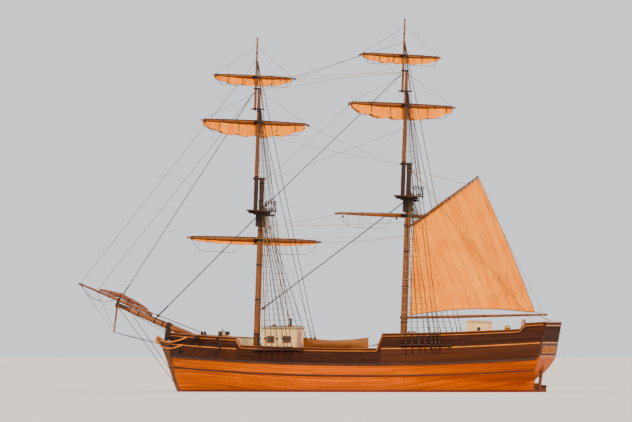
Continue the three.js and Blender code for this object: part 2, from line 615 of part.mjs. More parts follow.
// Masts. Heights are measured up the mast from the waterplane.
const MASTS = {
  fore: {
    ...FORE_MAST,
    low: 1700,
    top: 12300,
    cap: 14600,
    crosstrees: 19300,
    head: 20700,
    truck: 24100,
    deckRadius: 235,
  },
  main: {
    ...MAIN_MAST,
    low: 2700,
    top: 13250,
    cap: 15550,
    crosstrees: 20450,
    head: 21850,
    truck: 25300,
    deckRadius: 245,
  },
};
const lowerRadius = (mast, h) => lerp(mast.deckRadius, 190, clamp01((h - mast.low) / (mast.top - mast.low)));
const TOPMAST_RADIUS = 145;
const TOPMAST_TIP = 115;
const topmastRadius = (mast, h) => lerp(TOPMAST_RADIUS, TOPMAST_TIP, clamp01((h - mast.top) / (mast.head - mast.top)));
const TOPGALLANT_RADIUS = 85;
const TRUCK_RADIUS = 50;
const topgallantRadius = (mast, h) =>
  lerp(TOPGALLANT_RADIUS, TRUCK_RADIUS, clamp01((h - mast.crosstrees) / (mast.truck - mast.crosstrees)));

function mastGroup(name) {
  const group = new THREE.Group();
  group.name = name;
  group.position.set(MASTS[name].x, 0, 0);
  group.rotation.y = -RAKE;
  ship.add(group);
  return group;
}
const rigs = { fore: mastGroup("fore"), main: mastGroup("main") };

const TOP = { half: 1350, aft: 750, ahead: 950, thick: 70 };
for (const [name, mast] of Object.entries(MASTS)) {
  const { low, top, cap, crosstrees, head, truck } = mast;
  const ahead = TOPMAST_AHEAD;
  const pole = turned([[low, lowerRadius(mast, low)], [top - 900, lowerRadius(mast, top - 900)], [top - 500, 230],
    [top + 20, 230], [top + 20, 170], [cap, 150]]);
  const outline = [[-TOP.aft, -TOP.half], [200, -TOP.half], [750, -TOP.half * 0.72], [TOP.ahead, 0]];
  const shape = [...outline, [750, TOP.half * 0.72], [200, TOP.half], [-TOP.aft, TOP.half]];
  const platform = new THREE.ExtrudeGeometry(
    new THREE.Shape(shape.map(([x, y]) => new THREE.Vector2(x, y))),
    { depth: TOP.thick, bevelEnabled: false },
  ).translate(0, 0, top);
  const trestles = bothSides.map((side) => block([-600, side * 220 - 60, top - 165], [800, side * 230 + 60, top + 10]));
  const crossbars = [-350, 560].map((x) => block([x - 60, -1150, top - 90], [x + 60, 1150, top + 10]));
  const capBlock = block([-200, -190, cap - 160], [ahead + 210, 190, cap - 10]);
  const hole = collar(0, TOPMAST_RADIUS + 6, top - 400, cap + 100).translate(ahead, 0, 0);
  const tilt = (g) => g.rotateY(-RAKE).translate(mast.x, 0, 0);
  const cutters = [tilt(hole), ...deckCutters];
  const body = combine([pole, platform, ...trestles, ...crossbars, capBlock].map(tilt), cutters);
  add(`${name}_lower_mast`, body, MATERIALS.sparWood);

  const above = ahead + TOPGALLANT_AHEAD;
  const topmast = turned([[top - 250, TOPMAST_RADIUS], [cap, TOPMAST_RADIUS], [crosstrees, topmastRadius(mast, crosstrees)],
    [head, TOPMAST_TIP - 15]]).translate(ahead, 0, 0);
  const pin = block([ahead - 60, -170 - 60, top + TOP.thick + 1], [ahead + 60, 170 + 60, top + TOP.thick + 90]);
  const trees = bothSides.map((side) => block([ahead - 380, side * 120 - 35, crosstrees - 90], [above + 260, side * 120 + 35, crosstrees]));
  const arms = [-180, 190].map((x) => block([ahead + x - 35, -720, crosstrees - 60], [ahead + x + 35, 720, crosstrees + 10]));
  const topCap = block([ahead - 130, -120, head - 110], [above + 120, 120, head]);
  const topgallant = turned([[crosstrees - 150, TOPGALLANT_RADIUS], [crosstrees, TOPGALLANT_RADIUS],
    [truck - 60, TRUCK_RADIUS], [truck - 60, 95], [truck, 70]]).translate(above, 0, 0);
  const filler = block([ahead, -60, crosstrees - 90], [above, 60, crosstrees]);
  const upper = combine([topmast, pin, ...trees, ...arms, topCap, topgallant, filler]);
  add(`${name}_upper_mast`, upper, MATERIALS.sparWood, rigs[name]);
}

// Yards and the sails gathered up to them. Each row: mast, height, half length, radius at the middle,
// what it is slung from, and the sail's hang, height and depth when gathered (none for the bare yard).
const YARDS = [
  { name: "fore_course", mast: "fore", z: 10350, half: 5950, r: 135, on: "lower", hang: 330, deep: 250, lift: 130 },
  { name: "fore_topsail", mast: "fore", z: 18350, half: 4800, r: 110, on: "topmast", hang: 1000, deep: 330, lift: 120 },
  { name: "fore_topgallant", mast: "fore", z: 21450, half: 3650, r: 80, on: "topgallant", hang: 620, deep: 240, lift: 90 },
  { name: "main", mast: "main", z: 11950, half: 5950, r: 135, on: "lower" },
  { name: "main_topsail", mast: "main", z: 19450, half: 4800, r: 110, on: "topmast", hang: 1000, deep: 330, lift: 120 },
  { name: "main_topgallant", mast: "main", z: 22800, half: 3650, r: 80, on: "topgallant", hang: 560, deep: 230, lift: 90 },
];
const SPARS = {
  lower: { ahead: 0, radius: lowerRadius, sling: 590 },
  topmast: { ahead: TOPMAST_AHEAD, radius: topmastRadius, sling: 350 },
  topgallant: { ahead: TOPMAST_AHEAD + TOPGALLANT_AHEAD, radius: topgallantRadius, sling: 260 },
};
const RING_HALF = 80;
const RING_WALL = 40;

const yardSpar = (half, r) =>
  turned([[-half, r * 0.45], [-half * 0.5, r * 0.88], [-half * 0.12, r], [half * 0.12, r], [half * 0.5, r * 0.88], [half, r * 0.45]], 10)
    .rotateX(Math.PI / 2);

// How far along its yard a gathered sail is full: 1 near the mast, small at the ends.
const bunt = (v, slack) => lerp(Math.cos((Math.PI / 2) * Math.abs(v) ** 1.6), 1, 0.16) * (1 - slack * Math.abs(Math.sin(v * 9)));

for (const { name, mast: mastName, z, half, r, on, hang, deep, lift } of YARDS) {
  const mast = MASTS[mastName];
  const { ahead, radius, sling } = SPARS[on];
  const inner = ringRadius(radius(mast, z - RING_HALF));
  const seat = (g) => g.rotateZ(-BRACED).translate(ahead, 0, z);
  const ring = collar(inner, inner + RING_WALL, -RING_HALF, RING_HALF);
  const link = block([inner + 10, -70, -60], [sling, 70, 60]);
  const spar = yardSpar(half, r).translate(sling, 0, 0);
  add(`${name}_yard`, seat(combine([ring, link, spar])), MATERIALS.sparWood, rigs[mastName]);
  if (!hang) continue;
  const rings = steps(14, -0.93, 0.93).map((v) => {
    const fullness = bunt(v, 0.12);
    const [low, high] = [-hang * fullness - r * 0.5, lift * lerp(fullness, 1, 0.4)];
    const reach = deep * lerp(fullness, 1, 0.25);
    return steps(7, 0, 7).map((k) => {
      const a = ((k + 0.5) * Math.PI) / 4;
      const [c, s] = [Math.cos(a), Math.sin(a)];
      return [sling + reach * 0.42 + reach * 0.72 * s, v * half, lerp(low, high, 0.5 + 0.54 * c)];
    });
  });
  const sail = toSolid(skin(rings))
    .subtract(toSolid(yardSpar(half + 50, r + 2).translate(sling, 0, 0)))
    .subtract(toSolid(block([0, -80, -70], [sling, 80, 70])));
  const sailName = name === "main" ? "main_course" : name;
  add(`${sailName}_sail`, seat(toGeometry(largest(sail))), MATERIALS.canvas, rigs[mastName]);
}

// The gaff sail with its boom and gaff. They swing together about the main mast; rises are from square to the mast.
const SWUNG = THREE.MathUtils.degToRad(8); // the boom, out to starboard
const SPANKER = {
  boom: { z: 5050, length: 9500, radius: 105, tip: 65, rise: THREE.MathUtils.degToRad(3.2) },
  gaff: { z: 11300, length: 5700, radius: 90, tip: 50, rise: THREE.MathUtils.degToRad(38) },
  luff: 400,
  camber: 420,
  thick: 14,
};
const jawRadius = (z) => ringRadius(lowerRadius(MASTS.main, z - 110));
const sparHeel = ({ z, radius, rise }) => jawRadius(z) + 12 + radius * 0.8 * Math.sin(rise);
const sparOn = (row) => {
  const { z, length, radius, tip, rise } = row;
  const inner = jawRadius(z);
  const ring = collar(inner, inner + 50, -110, 110).translate(0, 0, z);
  const spar = turned([[0, radius * 0.8], [length * 0.4, radius], [length, tip]], 10)
    .rotateY(-Math.PI / 2 + rise)
    .translate(-sparHeel(row), 0, z);
  return combine([ring, spar]).rotateZ(SWUNG);
};
add("spanker_boom", sparOn(SPANKER.boom), MATERIALS.sparWood, rigs.main);
add("spanker_gaff", sparOn(SPANKER.gaff), MATERIALS.sparWood, rigs.main);

// Places in the sail's own plane: a from luff to leech, b from foot to head.
function sailPoint(a, b, offset = 0) {
  const { boom, gaff, luff, camber } = SPANKER;
  const under = (spar, h, gap) => spar.z + (h - sparHeel(spar)) * Math.tan(spar.rise) + gap / Math.cos(spar.rise);
  const [foot, head] = [8900, 4750];
  const clewZ = under(boom, foot, boom.radius + 60);
  const tackZ = under(boom, luff, boom.radius + 60);
  const footZ = lerp(tackZ, clewZ, a) + 330 * Math.sin(Math.PI * a);
  const headX = lerp(luff, head, a);
  const headZ = under(gaff, headX, -gaff.radius - 8);
  const leech = lerp(foot, head, b) + 120 * Math.sin(Math.PI * b);
  const x = lerp(luff, leech, a);
  const z = lerp(footZ, headZ, b);
  const belly = camber * Math.sin(Math.PI * a ** 0.8) * (0.35 + 0.65 * Math.sin(Math.PI * b ** 0.9));
  return [-x, -belly + offset, z];
}
{
  const half = SPANKER.thick / 2;
  const [across, upward] = [12, 10];
  const rings = steps(across).map((a) => {
    const face = (offset) => steps(upward).map((b) => sailPoint(a, b, offset));
    return [...face(half), ...face(-half).reverse()];
  });
  add("spanker_sail", skin(rings).rotateZ(SWUNG), MATERIALS.canvas, rigs.main);
}

// Main stays. Each leads from a masthead to where it is made fast.
const onMast = (mast, h, ahead) => {
  const [s, c] = [Math.sin(RAKE), Math.cos(RAKE)];
  return [mast.x + ahead * c - h * s, 0, ahead * s + h * c];
};
const onBowsprit = (a, up) => {
  const [s, c] = [Math.sin(STEEVE), Math.cos(STEEVE)];
  return [BOWSPRIT_X + a * c - up * s, 0, BOWSPRIT_Z + a * s + up * c];
};
const { fore, main } = MASTS;
const UPPER_STAY_AHEAD = TOPMAST_AHEAD + TOPGALLANT_AHEAD + TOPGALLANT_RADIUS + 26;
const STAYS = {
  forestay: { from: onMast(fore, fore.top - 350, 264), to: onBowsprit(1150, 240), r: 32 },
  fore_topmast_stay: { from: onMast(fore, fore.head - 300, UPPER_STAY_AHEAD), to: onBowsprit(4000, 540), r: 24 },
  mainstay: { from: onMast(main, main.top - 350, 264), to: onMast(fore, 5600, -255), r: 32 },
  main_topmast_stay: { from: onMast(main, main.head - 300, UPPER_STAY_AHEAD), to: onMast(fore, fore.top + 300, -210), r: 24 },
};
for (const [name, { from, to, r }] of Object.entries(STAYS)) add(name, bar(from, to, r), MATERIALS.tarredRope);

// Furled jib along the jib-boom, round the foot of its stay.
{
  const rings = steps(14).map((v) => {
    const full = Math.sin(Math.PI * lerp(0.06, 0.94, v)) ** 0.7 * (1 - 0.12 * Math.abs(Math.sin(v * 16)));
    const a = lerp(1950, 5600, v);
    return steps(7, 0, 7).map((k) => {
      const turn = ((k + 0.5) * Math.PI) / 4;
      const [c, s] = [Math.cos(turn), Math.sin(turn)];
      return [-JIBBOOM.radius - 4 - 190 * full - 190 * full * c - JIBBOOM.above, 170 * full * s, a];
    });
  });
  const cap = block([-JIBBOOM.above - 176, -176, BOWSPRIT.head - 136], [170, 176, BOWSPRIT.head + 6]);
  const { from, to, r } = STAYS.fore_topmast_stay;
  const past = to.map((v, k) => v + (v - from[k]) * 0.002);
  const bundle = combine([steeved(skin(rings))], [steeved(cap), bar(from, past, r + 8)]);
  add("furled_jib", toGeometry(largest(toSolid(bundle))), MATERIALS.canvas);
}

export default ship;
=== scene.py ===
# A two-masted wooden brig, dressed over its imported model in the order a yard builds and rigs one: hull, decks
# and fittings, spars, standing rigging, sails and running rigging. Metres; +X is ahead, +Y is to port, z = 0
# afloat.
import math

import bpy
import numpy as np
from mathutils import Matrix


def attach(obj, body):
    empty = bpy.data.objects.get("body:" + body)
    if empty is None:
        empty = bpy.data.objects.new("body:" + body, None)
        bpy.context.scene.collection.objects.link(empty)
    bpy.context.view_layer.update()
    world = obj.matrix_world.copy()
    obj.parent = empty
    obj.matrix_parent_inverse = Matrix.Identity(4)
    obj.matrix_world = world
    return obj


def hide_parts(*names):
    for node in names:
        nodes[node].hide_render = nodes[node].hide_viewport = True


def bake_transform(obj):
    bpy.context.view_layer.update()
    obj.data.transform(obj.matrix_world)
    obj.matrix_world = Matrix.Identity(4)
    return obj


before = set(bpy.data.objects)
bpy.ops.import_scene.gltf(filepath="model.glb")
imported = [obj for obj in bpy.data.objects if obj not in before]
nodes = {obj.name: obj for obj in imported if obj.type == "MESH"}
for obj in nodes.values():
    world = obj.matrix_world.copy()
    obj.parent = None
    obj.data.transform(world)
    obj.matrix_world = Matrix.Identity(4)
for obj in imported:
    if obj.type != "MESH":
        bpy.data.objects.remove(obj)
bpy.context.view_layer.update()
scene = bpy.context.scene


# The view: far off, from a low shore, 15 degrees abaft the port beam, through a long lens. The eye is 2.6 m
# up, so the horizon crosses the hull as it does in the photograph, and looks up by less than a degree to the
# middle of the rig.
SHORE_AWAY, EYE_UP, SHIP_MIDDLE, RIG_MIDDLE, FRAME_WIDE = 650.0, 2.6, 3.2, 12.3, 43.0
abaft = math.radians(15)
camera = bpy.data.objects.new("shore_camera", bpy.data.cameras.new("shore_camera"))
scene.collection.objects.link(camera)
camera.location = (SHIP_MIDDLE - SHORE_AWAY * math.sin(abaft), SHORE_AWAY * math.cos(abaft), EYE_UP)
camera.rotation_euler = (math.pi / 2 + math.atan2(RIG_MIDDLE - EYE_UP, SHORE_AWAY), 0, math.pi + abaft)
camera.data.sensor_width = 36
camera.data.lens = 36 * SHORE_AWAY / FRAME_WIDE
camera.data.clip_start, camera.data.clip_end = 5, 6000
scene.camera = camera


# Stage: a plain pale floor at the waterline, and one soft sky with a warm low sun from where the photograph
# has it, over the viewer's right shoulder.
def tone(code):
    """An sRGB hex code as linear red, green, blue and full alpha; any other value as it is."""
    if not isinstance(code, str):
        return code
    parts = np.array([int(code[i:i + 2], 16) for i in (1, 3, 5)]) / 255
    return (*np.where(parts <= 0.04045, parts / 12.92, ((parts + 0.055) / 1.055) ** 2.4), 1.0)


def add_node(owner, kind, inputs=None, out=None, **settings):
    """Adds a shader node of that kind with its settings and inputs; returns its named or first output."""
    made = owner.node_tree.nodes.new("ShaderNode" + kind)
    for key, value in settings.items():
        setattr(made, key, value)
    for key, value in (inputs or {}).items():
        if isinstance(value, bpy.types.NodeSocket):
            owner.node_tree.links.new(value, made.inputs[key])
        else:
            made.inputs[key].default_value = tone(value)
    return made.outputs[out] if out else next(socket for socket in made.outputs if socket.enabled)


def finish(name, roughness, slot=None, **sockets):
    """A new material with its main shader's sockets set; the slot argument is not used."""
    material = bpy.data.materials.new(name)
    material.use_nodes = True
    for key, value in {"Roughness": roughness, **sockets}.items():
        material.node_tree.nodes["Principled BSDF"].inputs[key.replace("_", " ")].default_value = tone(value)
    return material


floor_mesh = bpy.data.meshes.new("floor")
floor_mesh.from_pydata([(-9000, -9000, 0), (9000, -9000, 0), (9000, 9000, 0), (-9000, 9000, 0)], [],
                       [(0, 1, 2, 3)])
floor = bpy.data.objects.new("floor", floor_mesh)
scene.collection.objects.link(floor)
floor_mesh.materials.append(finish("matt_studio_floor", 0.9, Base_Color="#D9D5CE"))

scene.world = bpy.data.worlds.new("studio")
scene.world.use_nodes = True
sky = scene.world.node_tree.nodes["Background"]
sky.inputs["Color"].default_value = tone("#E9EAEE")
sky.inputs["Strength"].default_value = 0.75


def sun_lamp(name, azimuth, height, strength, colour, softness):
    """A far soft lamp, given by where it shines from: degrees round from the ship's side view, and up."""
    lamp = bpy.data.lights.new(name, "SUN")
    lamp.energy, lamp.color, lamp.angle = strength, tone(colour)[:3], math.radians(softness)
    held = bpy.data.objects.new(name, lamp)
    held.rotation_euler = (math.radians(90 - height), 0, math.radians(azimuth))
    scene.collection.objects.link(held)


sun_lamp("key_lamp", 215, 28, 2.6, "#FFDDB2", 12)
sun_lamp("fill_lamp", 150, 40, 0.7, "#E8EEFF", 40)

scene.view_settings.view_transform = "AgX"
scene.view_settings.look = "AgX - Medium High Contrast"
scene.view_settings.exposure = 0.35


# Hull form: the same lines as the model's solids. A point of the side is given by its share t of the length
# from aft and its height z; every plank, rail and moulding of the hull lies on these curves.
RABBET, MIDSHIP = -2.5, 0.52


def clamp(value):
    return np.clip(value, 0, 1)


def mix(a, b, share):
    return a + (b - a) * share


def alike(*values):
    """Numbers and arrays as arrays of one shape."""
    return np.broadcast_arrays(*(np.asarray(value, float) for value in values))


def spot(x, y, z):
    """Points from coordinates that are each a number or an array."""
    return np.stack(alike(x, y, z), -1)


def stem_x(z):
    """Upright at the stem head and swept back below it by a power of the depth."""
    return 13.5 - 2.4 * np.maximum(0, (3.9 - z) / 6.4) ** 2.2


def stern_x(z):
    """A raked sternpost up to the tuck, then a hollow counter, then a raked flat transom."""
    post = -11.65 - 0.14 * (np.minimum(z, 0.9) + 2.5)
    return post - 0.85 * clamp((z - 0.9) / 1.4) ** 0.8 - 0.2 * np.maximum(0, z - 2.3)


def stern_half(z):
    """Half breadth of the after end: the post's own below the tuck, opening out in a round to the transom."""
    opening = 1 - (1 - clamp((z - 0.8) / 1.8)) ** 2.2
    return mix(0.13, 2.4, opening) - 0.09 * np.maximum(0, z - 2.6)


def middle_half(z):
    """Half breadth amidships: rising floor, round bilge, a little tumblehome over the greatest breadth."""
    below = (1 - (1 - clamp((z + 2.5) / 3.4)) ** 3) ** 0.65
    return np.maximum(0.13, 3.4 * below - 0.26 * (np.maximum(0, z - 0.9) / 3) ** 2)


def hull_half(t, z):
    """From the middle's half breadth to the end's by a power of a cosine, hollow low down and bluff above."""
    ahead = t > MIDSHIP
    share = np.where(ahead, (t - MIDSHIP) / (1 - MIDSHIP), (MIDSHIP - t) / MIDSHIP)
    entry = mix(2.2, 0.6, clamp((z + 2.5) / 5) ** 0.75)
    run = mix(2.4, 0.62, clamp((z + 2.5) / 4.7) ** 0.8)
    full = np.maximum(0, np.cos(np.pi / 2 * np.minimum(share, 1))) ** np.where(ahead, entry, run)
    end = np.where(ahead, 0.13, stern_half(z))
    return mix(end, np.maximum(end, middle_half(z)), full)


STERN_LEVEL, STEM_LEVEL = float(stern_x(2.5)), float(stem_x(2.5))


def station_x(t):
    return mix(STERN_LEVEL, STEM_LEVEL, t)


def hull_x(t, z):
    """Upright stations amidships that lean over to the lines of stern and stem by the nearness cubed."""
    return station_x(t) + (stern_x(z) - STERN_LEVEL) * (1 - t) ** 3 + (stem_x(z) - STEM_LEVEL) * t ** 3


def share_at(x):
    return (x - STERN_LEVEL) / (STEM_LEVEL - STERN_LEVEL)


def side_point(t, z, inset=0.0, side=1):
    """A point of the side, moved in from its outer face by inset."""
    t, z, inset = alike(t, z, inset)
    return spot(hull_x(t, z), side * np.maximum(0.008, hull_half(t, z) - inset), z)


def main_deck_z(t):
    """The sheer: a parabola lowest a little abaft the middle."""
    return 1.95 + 0.55 * ((station_x(t) + 1) / 14) ** 2


QUARTERDECK_END, FORECASTLE_START, STEP = 0.409, 0.8, 0.0006


def deck_z(t):
    """Deck at side: the main deck, with the quarterdeck 1 m and the forecastle 0.75 m above it."""
    return main_deck_z(t) + np.where(t >= FORECASTLE_START, 0.75, np.where(t <= QUARTERDECK_END, 1.0, 0))


def deck_top(x):
    """Top of the planks on the centreline, with their camber."""
    return float(deck_z(share_at(x))) + 0.15


RAIL_ROWS = np.array([(0, 2.33), (0.05, 2.33), (0.062, 1.95), (0.409, 1.95), (0.421, 0.95), (0.788, 0.95),
                      (0.8, 1.45), (1, 1.45)])


def rail_z(t):
    """Top of the bulwarks: straight runs between the rows of share and height above the main deck."""
    return main_deck_z(t) + np.interp(t, *RAIL_ROWS.T)


def stations(count, first=0.0, last=1.0):
    """Shares from first to last: even, closer towards the stem, and with every step of deck and rail."""
    first, last = round(first, 6), round(last, 6)
    even = np.linspace(0, 1, count)
    even = np.where(even > 0.75, 1 - (1 - even) ** 1.3 * 0.25 ** -0.3, even)
    every = np.r_[first, even, RAIL_ROWS[:, 0], QUARTERDECK_END + STEP, FORECASTLE_START - STEP, last]
    return np.unique(every[(every >= first) & (every <= last)].round(6))


# Topsides and bottom: carvel planks of oiled larch on sawn frames, 160 mm wide amidships and narrower at the
# ends, caulked and payed with pitch. They are stained dark above the main deck, and under red-brown paint
# below the water.
def shape(name, parts, material, body="hull", sharp=32, replaces=()):
    """One mesh from parts: closed rings (items, rows, points, 3), each alone or in a pair with its uv.

    Neighbouring rings are joined by four-sided faces. An item's two end rings are zipped shut from side to
    side, or are one and the same where the last lies on the first. An item that would face inwards is turned
    round. Without a uv, u is the length along the item and v the way round.
    """
    points, faces, maps, start = [], [], [], 0
    for part in parts:
        rings, uv = part if isinstance(part, tuple) else (part, None)
        rings = np.asarray(rings, float)
        rings = rings.reshape(-1, *rings.shape[-3:])
        items, rows, cols, _ = rings.shape
        loop = np.concatenate([rings, rings[:, :, :1]], 2)
        middle = rings.mean(2)
        if uv is None:
            along = np.linalg.norm(np.diff(middle, axis=1), axis=-1)
            along = np.concatenate([np.zeros((items, 1)), along.cumsum(1)], 1)
            around = np.linalg.norm(np.diff(loop, axis=2), axis=-1).max(1)
            around = np.concatenate([np.zeros((items, 1)), around.cumsum(1)], 1)
            lag = np.arange(items)[:, None, None] * 1.37
            uv = np.stack(alike(along[:, :, None] + lag, around[:, None] + lag), -1)
        uv = np.broadcast_to(uv, (items, rows, cols + 1, 2))
        centre = (middle[:, :-1] + middle[:, 1:])[:, :, None] / 2
        a, b, c, d = loop[:, :-1, :-1], loop[:, :-1, 1:], loop[:, 1:, 1:], loop[:, 1:, :-1]
        outward = (np.cross(c - a, d - b) * ((a + b + c + d) / 4 - centre)).sum((1, 2, 3))
        hooped = np.allclose(rings[:, 0], rings[:, -1], atol=1e-6)
        own = rings[:, :rows - hooped]
        index = start + np.arange(own.size // 3).reshape(own.shape[:3])
        index = np.concatenate([index, index[:, :hooped]], 1)
        index = np.concatenate([index, index[:, :, :1]], 2)
        place = np.arange(items * rows * (cols + 1)).reshape(items, rows, cols + 1)
        half = cols // 2

        def corners(grid):
            sides = np.stack([grid[:, :-1, :-1], grid[:, :-1, 1:], grid[:, 1:, 1:], grid[:, 1:, :-1]], -1)
            flat = [sides.reshape(items, -1, 4)]
            for row, turn in () if hooped else ((0, 1), (-1, -1)):
                ring = grid[:, row, :-1]
                lid = np.stack([ring[:, 1:half], ring[:, :half - 1], ring[:, :half:-1],
                                ring[:, half:-1][:, ::-1]], -1)
                flat.append(lid[..., ::turn])
            every = np.concatenate(flat, 1)
            return np.where((outward < 0)[:, None, None], every[..., ::-1], every)

        faces.append(corners(index).reshape(-1, 4))
        maps.append(uv.reshape(-1, 2)[corners(place).reshape(-1)])
        points.append(own.reshape(-1, 3))
        start += own.size // 3
    return surface(name, np.concatenate(points), np.concatenate(faces), np.concatenate(maps), material, body,
                   sharp, replaces)


def surface(name, points, faces, uv, material, body, sharp=32, replaces=()):
    """Puts points, four-sided faces and their corners' uv into a mesh object that rides on a body."""
    mesh = bpy.data.meshes.new(name)
    mesh.vertices.add(len(points))
    mesh.vertices.foreach_set("co", points.astype(np.float32).ravel())
    mesh.loops.add(faces.size)
    mesh.loops.foreach_set("vertex_index", faces.astype(np.int32).ravel())
    mesh.polygons.add(len(faces))
    mesh.polygons.foreach_set("loop_start", np.arange(0, faces.size, 4, dtype=np.int32))
    mesh.update(calc_edges=True)
    mesh.uv_layers.new(name="UVMap").data.foreach_set("uv", uv.astype(np.float32).ravel())
    mesh.polygons.foreach_set("use_smooth", np.ones(len(faces), bool))
    mesh.set_sharp_from_angle(angle=math.radians(sharp))
    mesh.materials.append(material)
    made = bpy.data.objects.new(name, mesh)
    scene.collection.objects.link(made)
    if body:
        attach(made, body)
    if replaces:
        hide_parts(*([replaces] if isinstance(replaces, str) else replaces))
    return made


hull_t = stations(150)
levels = mix(RABBET, main_deck_z(hull_t)[:, None] - 0.001, np.linspace(0, 1, 41) ** 0.9)
levels = np.concatenate([levels, deck_z(hull_t)[:, None]], 1)
port_side = side_point(hull_t[:, None], levels)
girth = np.linalg.norm(np.diff(port_side[:, :-1], axis=1), axis=-1).cumsum(1)
STRAKES, STRAKE_WIDE = 40, 0.16
strake = girth / girth[:, -1:] * STRAKES * STRAKE_WIDE
strake = np.concatenate([np.zeros((len(hull_t), 1)), strake,
                         strake[:, -1:] + levels[:, -1:] - levels[:, -2:-1]], 1)
port_map = np.stack(alike(hull_x(hull_t, 1.0)[:, None], strake), -1)
starboard_map = (port_map + [31.3, 0])[:, ::-1]
hull_map = np.concatenate([port_map, starboard_map, starboard_map[:, -1:]], 1)
hull_rings = np.concatenate([port_side, (port_side * [1, -1, 1])[:, ::-1]], 1)


def dress(owner, colour, height=None, strength=0.3, distance=0.004):
    """Links a colour, and a height as bump, to a material's main shader."""
    shader = owner.node_tree.nodes["Principled BSDF"]
    owner.node_tree.links.new(colour, shader.inputs["Base Color"])
    if height is not None:
        bump = add_node(owner, "Bump", {"Height": height, "Strength": strength, "Distance": distance})
        owner.node_tree.links.new(bump, shader.inputs["Normal"])


def planks(owner, long, wide, seam, light, dark, pitch):
    """Colour, height and place across of laid planks: butted bricks in two shades, each row slid along by
    chance, with a dark seam, and grain drawn out along them."""
    where = add_node(owner, "TexCoord", out="UV")
    along, over = (add_node(owner, "SeparateXYZ", {0: where}, axis) for axis in "XY")
    row = add_node(owner, "Math", {0: over, 1: wide}, operation="DIVIDE")
    row = add_node(owner, "Math", {0: row}, operation="FLOOR")
    chance = add_node(owner, "TexWhiteNoise", {"W": row}, noise_dimensions="1D")
    slid = add_node(owner, "Math", {0: chance, 1: long, 2: along}, operation="MULTIPLY_ADD")
    where = add_node(owner, "CombineXYZ", {"X": slid, "Y": over})
    bricks = add_node(owner, "TexBrick",
                      {"Vector": where, "Color1": light, "Color2": dark, "Mortar": pitch, "Scale": 1.0,
                       "Mortar Size": seam / 2, "Mortar Smooth": 0.3, "Bias": -0.1, "Brick Width": long,
                       "Row Height": wide}, offset=0.0)
    drawn = add_node(owner, "Mapping", {"Vector": where, "Scale": (0.6, 14, 14)})
    grain = add_node(owner, "TexNoise", {"Vector": drawn, "Scale": 1.0, "Detail": 5.0, "Roughness": 0.6})
    faded = add_node(owner, "TexNoise", {"Vector": where, "Scale": 0.35, "Detail": 3.0})
    worn = add_node(owner, "Math", {0: grain, 1: faded}, operation="ADD")
    shade = add_node(owner, "MapRange", {"Value": worn, "From Min": 0.7, "From Max": 1.35, "To Min": 0.74,
                                         "To Max": 1.16})
    colour = add_node(owner, "VectorMath", {0: bricks, "Scale": shade}, operation="SCALE")
    ridge = add_node(owner, "Math", {0: bricks.node.outputs["Fac"], 1: -1.0, 2: grain},
                     operation="MULTIPLY_ADD")
    return colour, ridge, over


# The seams are drawn 22 mm wide, three times the real ones, so that the strakes read from the shore.
larch = finish("oiled_larch_planking", 0.5, "planking", Specular_IOR_Level=0.35)
larch_colour, larch_ridge, larch_over = planks(larch, 5.8, STRAKE_WIDE, 0.022, "#D46A0E", "#AE4F0A",
                                               "#5A2A0C")
stain_from = STRAKES * STRAKE_WIDE
upper = add_node(larch, "MapRange",
                 {"Value": larch_over, "From Min": stain_from, "From Max": stain_from + 0.01})
stained = add_node(larch, "VectorMath", {0: larch_colour, 1: (0.14, 0.16, 0.3)}, operation="MULTIPLY")
larch_colour = add_node(larch, "Mix", {"Factor": upper, "A": larch_colour, "B": stained}, data_type="RGBA")
larch_at = add_node(larch, "TexCoord", out="Object")
above_water = add_node(larch, "SeparateXYZ", {0: larch_at}, "Z")
ripple = add_node(larch, "TexNoise", {"Vector": larch_at, "Scale": 0.8, "Detail": 4.0})
line = add_node(larch, "Math", {0: ripple, 1: 0.05, 2: above_water}, operation="MULTIPLY_ADD")
wet = add_node(larch, "MapRange",
               {"Value": line, "From Min": 0.6, "From Max": 0.2, "To Min": 0.0, "To Max": 0.45})
under_paint = add_node(larch, "MapRange", {"Value": line, "From Min": 0.17, "From Max": 0.15})
larch_colour = add_node(larch, "Mix", {"Factor": wet, "A": larch_colour, "B": "#6E3A1B"}, data_type="RGBA")
larch_colour = add_node(larch, "Mix", {"Factor": under_paint, "A": larch_colour, "B": "#6A2D20"},
                        data_type="RGBA")
dress(larch, larch_colour, larch_ridge, 0.5, 0.02)

shape("hull_planking", [(hull_rings, hull_map)], larch, "hull", 50, "hull")


# Keel, stem, sternpost and rudder: oak baulks, bolted through, under the same bottom paint below the
# waterline and oiled dark above it, in the solids' own shapes. Forged gudgeons and pintles hang the rudder.
def drawn_grain(owner, light, dark, coordinates="UV", stretch=(0.9, 22, 22)):
    """Colour and height of wood: two shades by noise drawn out along the grain, with a slow fade over it."""
    where = add_node(owner, "TexCoord", out=coordinates)
    drawn = add_node(owner, "Mapping", {"Vector": where, "Scale": stretch})
    grain = add_node(owner, "TexNoise", {"Vector": drawn, "Scale": 1.0, "Detail": 6.0, "Roughness": 0.62})
    fade = add_node(owner, "TexNoise", {"Vector": where, "Scale": 0.6, "Detail": 2.0})
    worn = add_node(owner, "Math", {0: fade, 1: 0.5, 2: grain}, operation="MULTIPLY_ADD")
    spread = add_node(owner, "MapRange", {"Value": worn, "From Min": 0.59, "From Max": 0.91})
    return add_node(owner, "Mix", {"Factor": spread, "A": dark, "B": light}, data_type="RGBA"), grain


def timber(name, slot, roughness, light, dark, coordinates="UV", stretch=(0.9, 22, 22), bump=0.3, **sockets):
    made = finish(name, roughness, slot, **sockets)
    dress(made, *drawn_grain(made, light, dark, coordinates, stretch), bump)
    return made


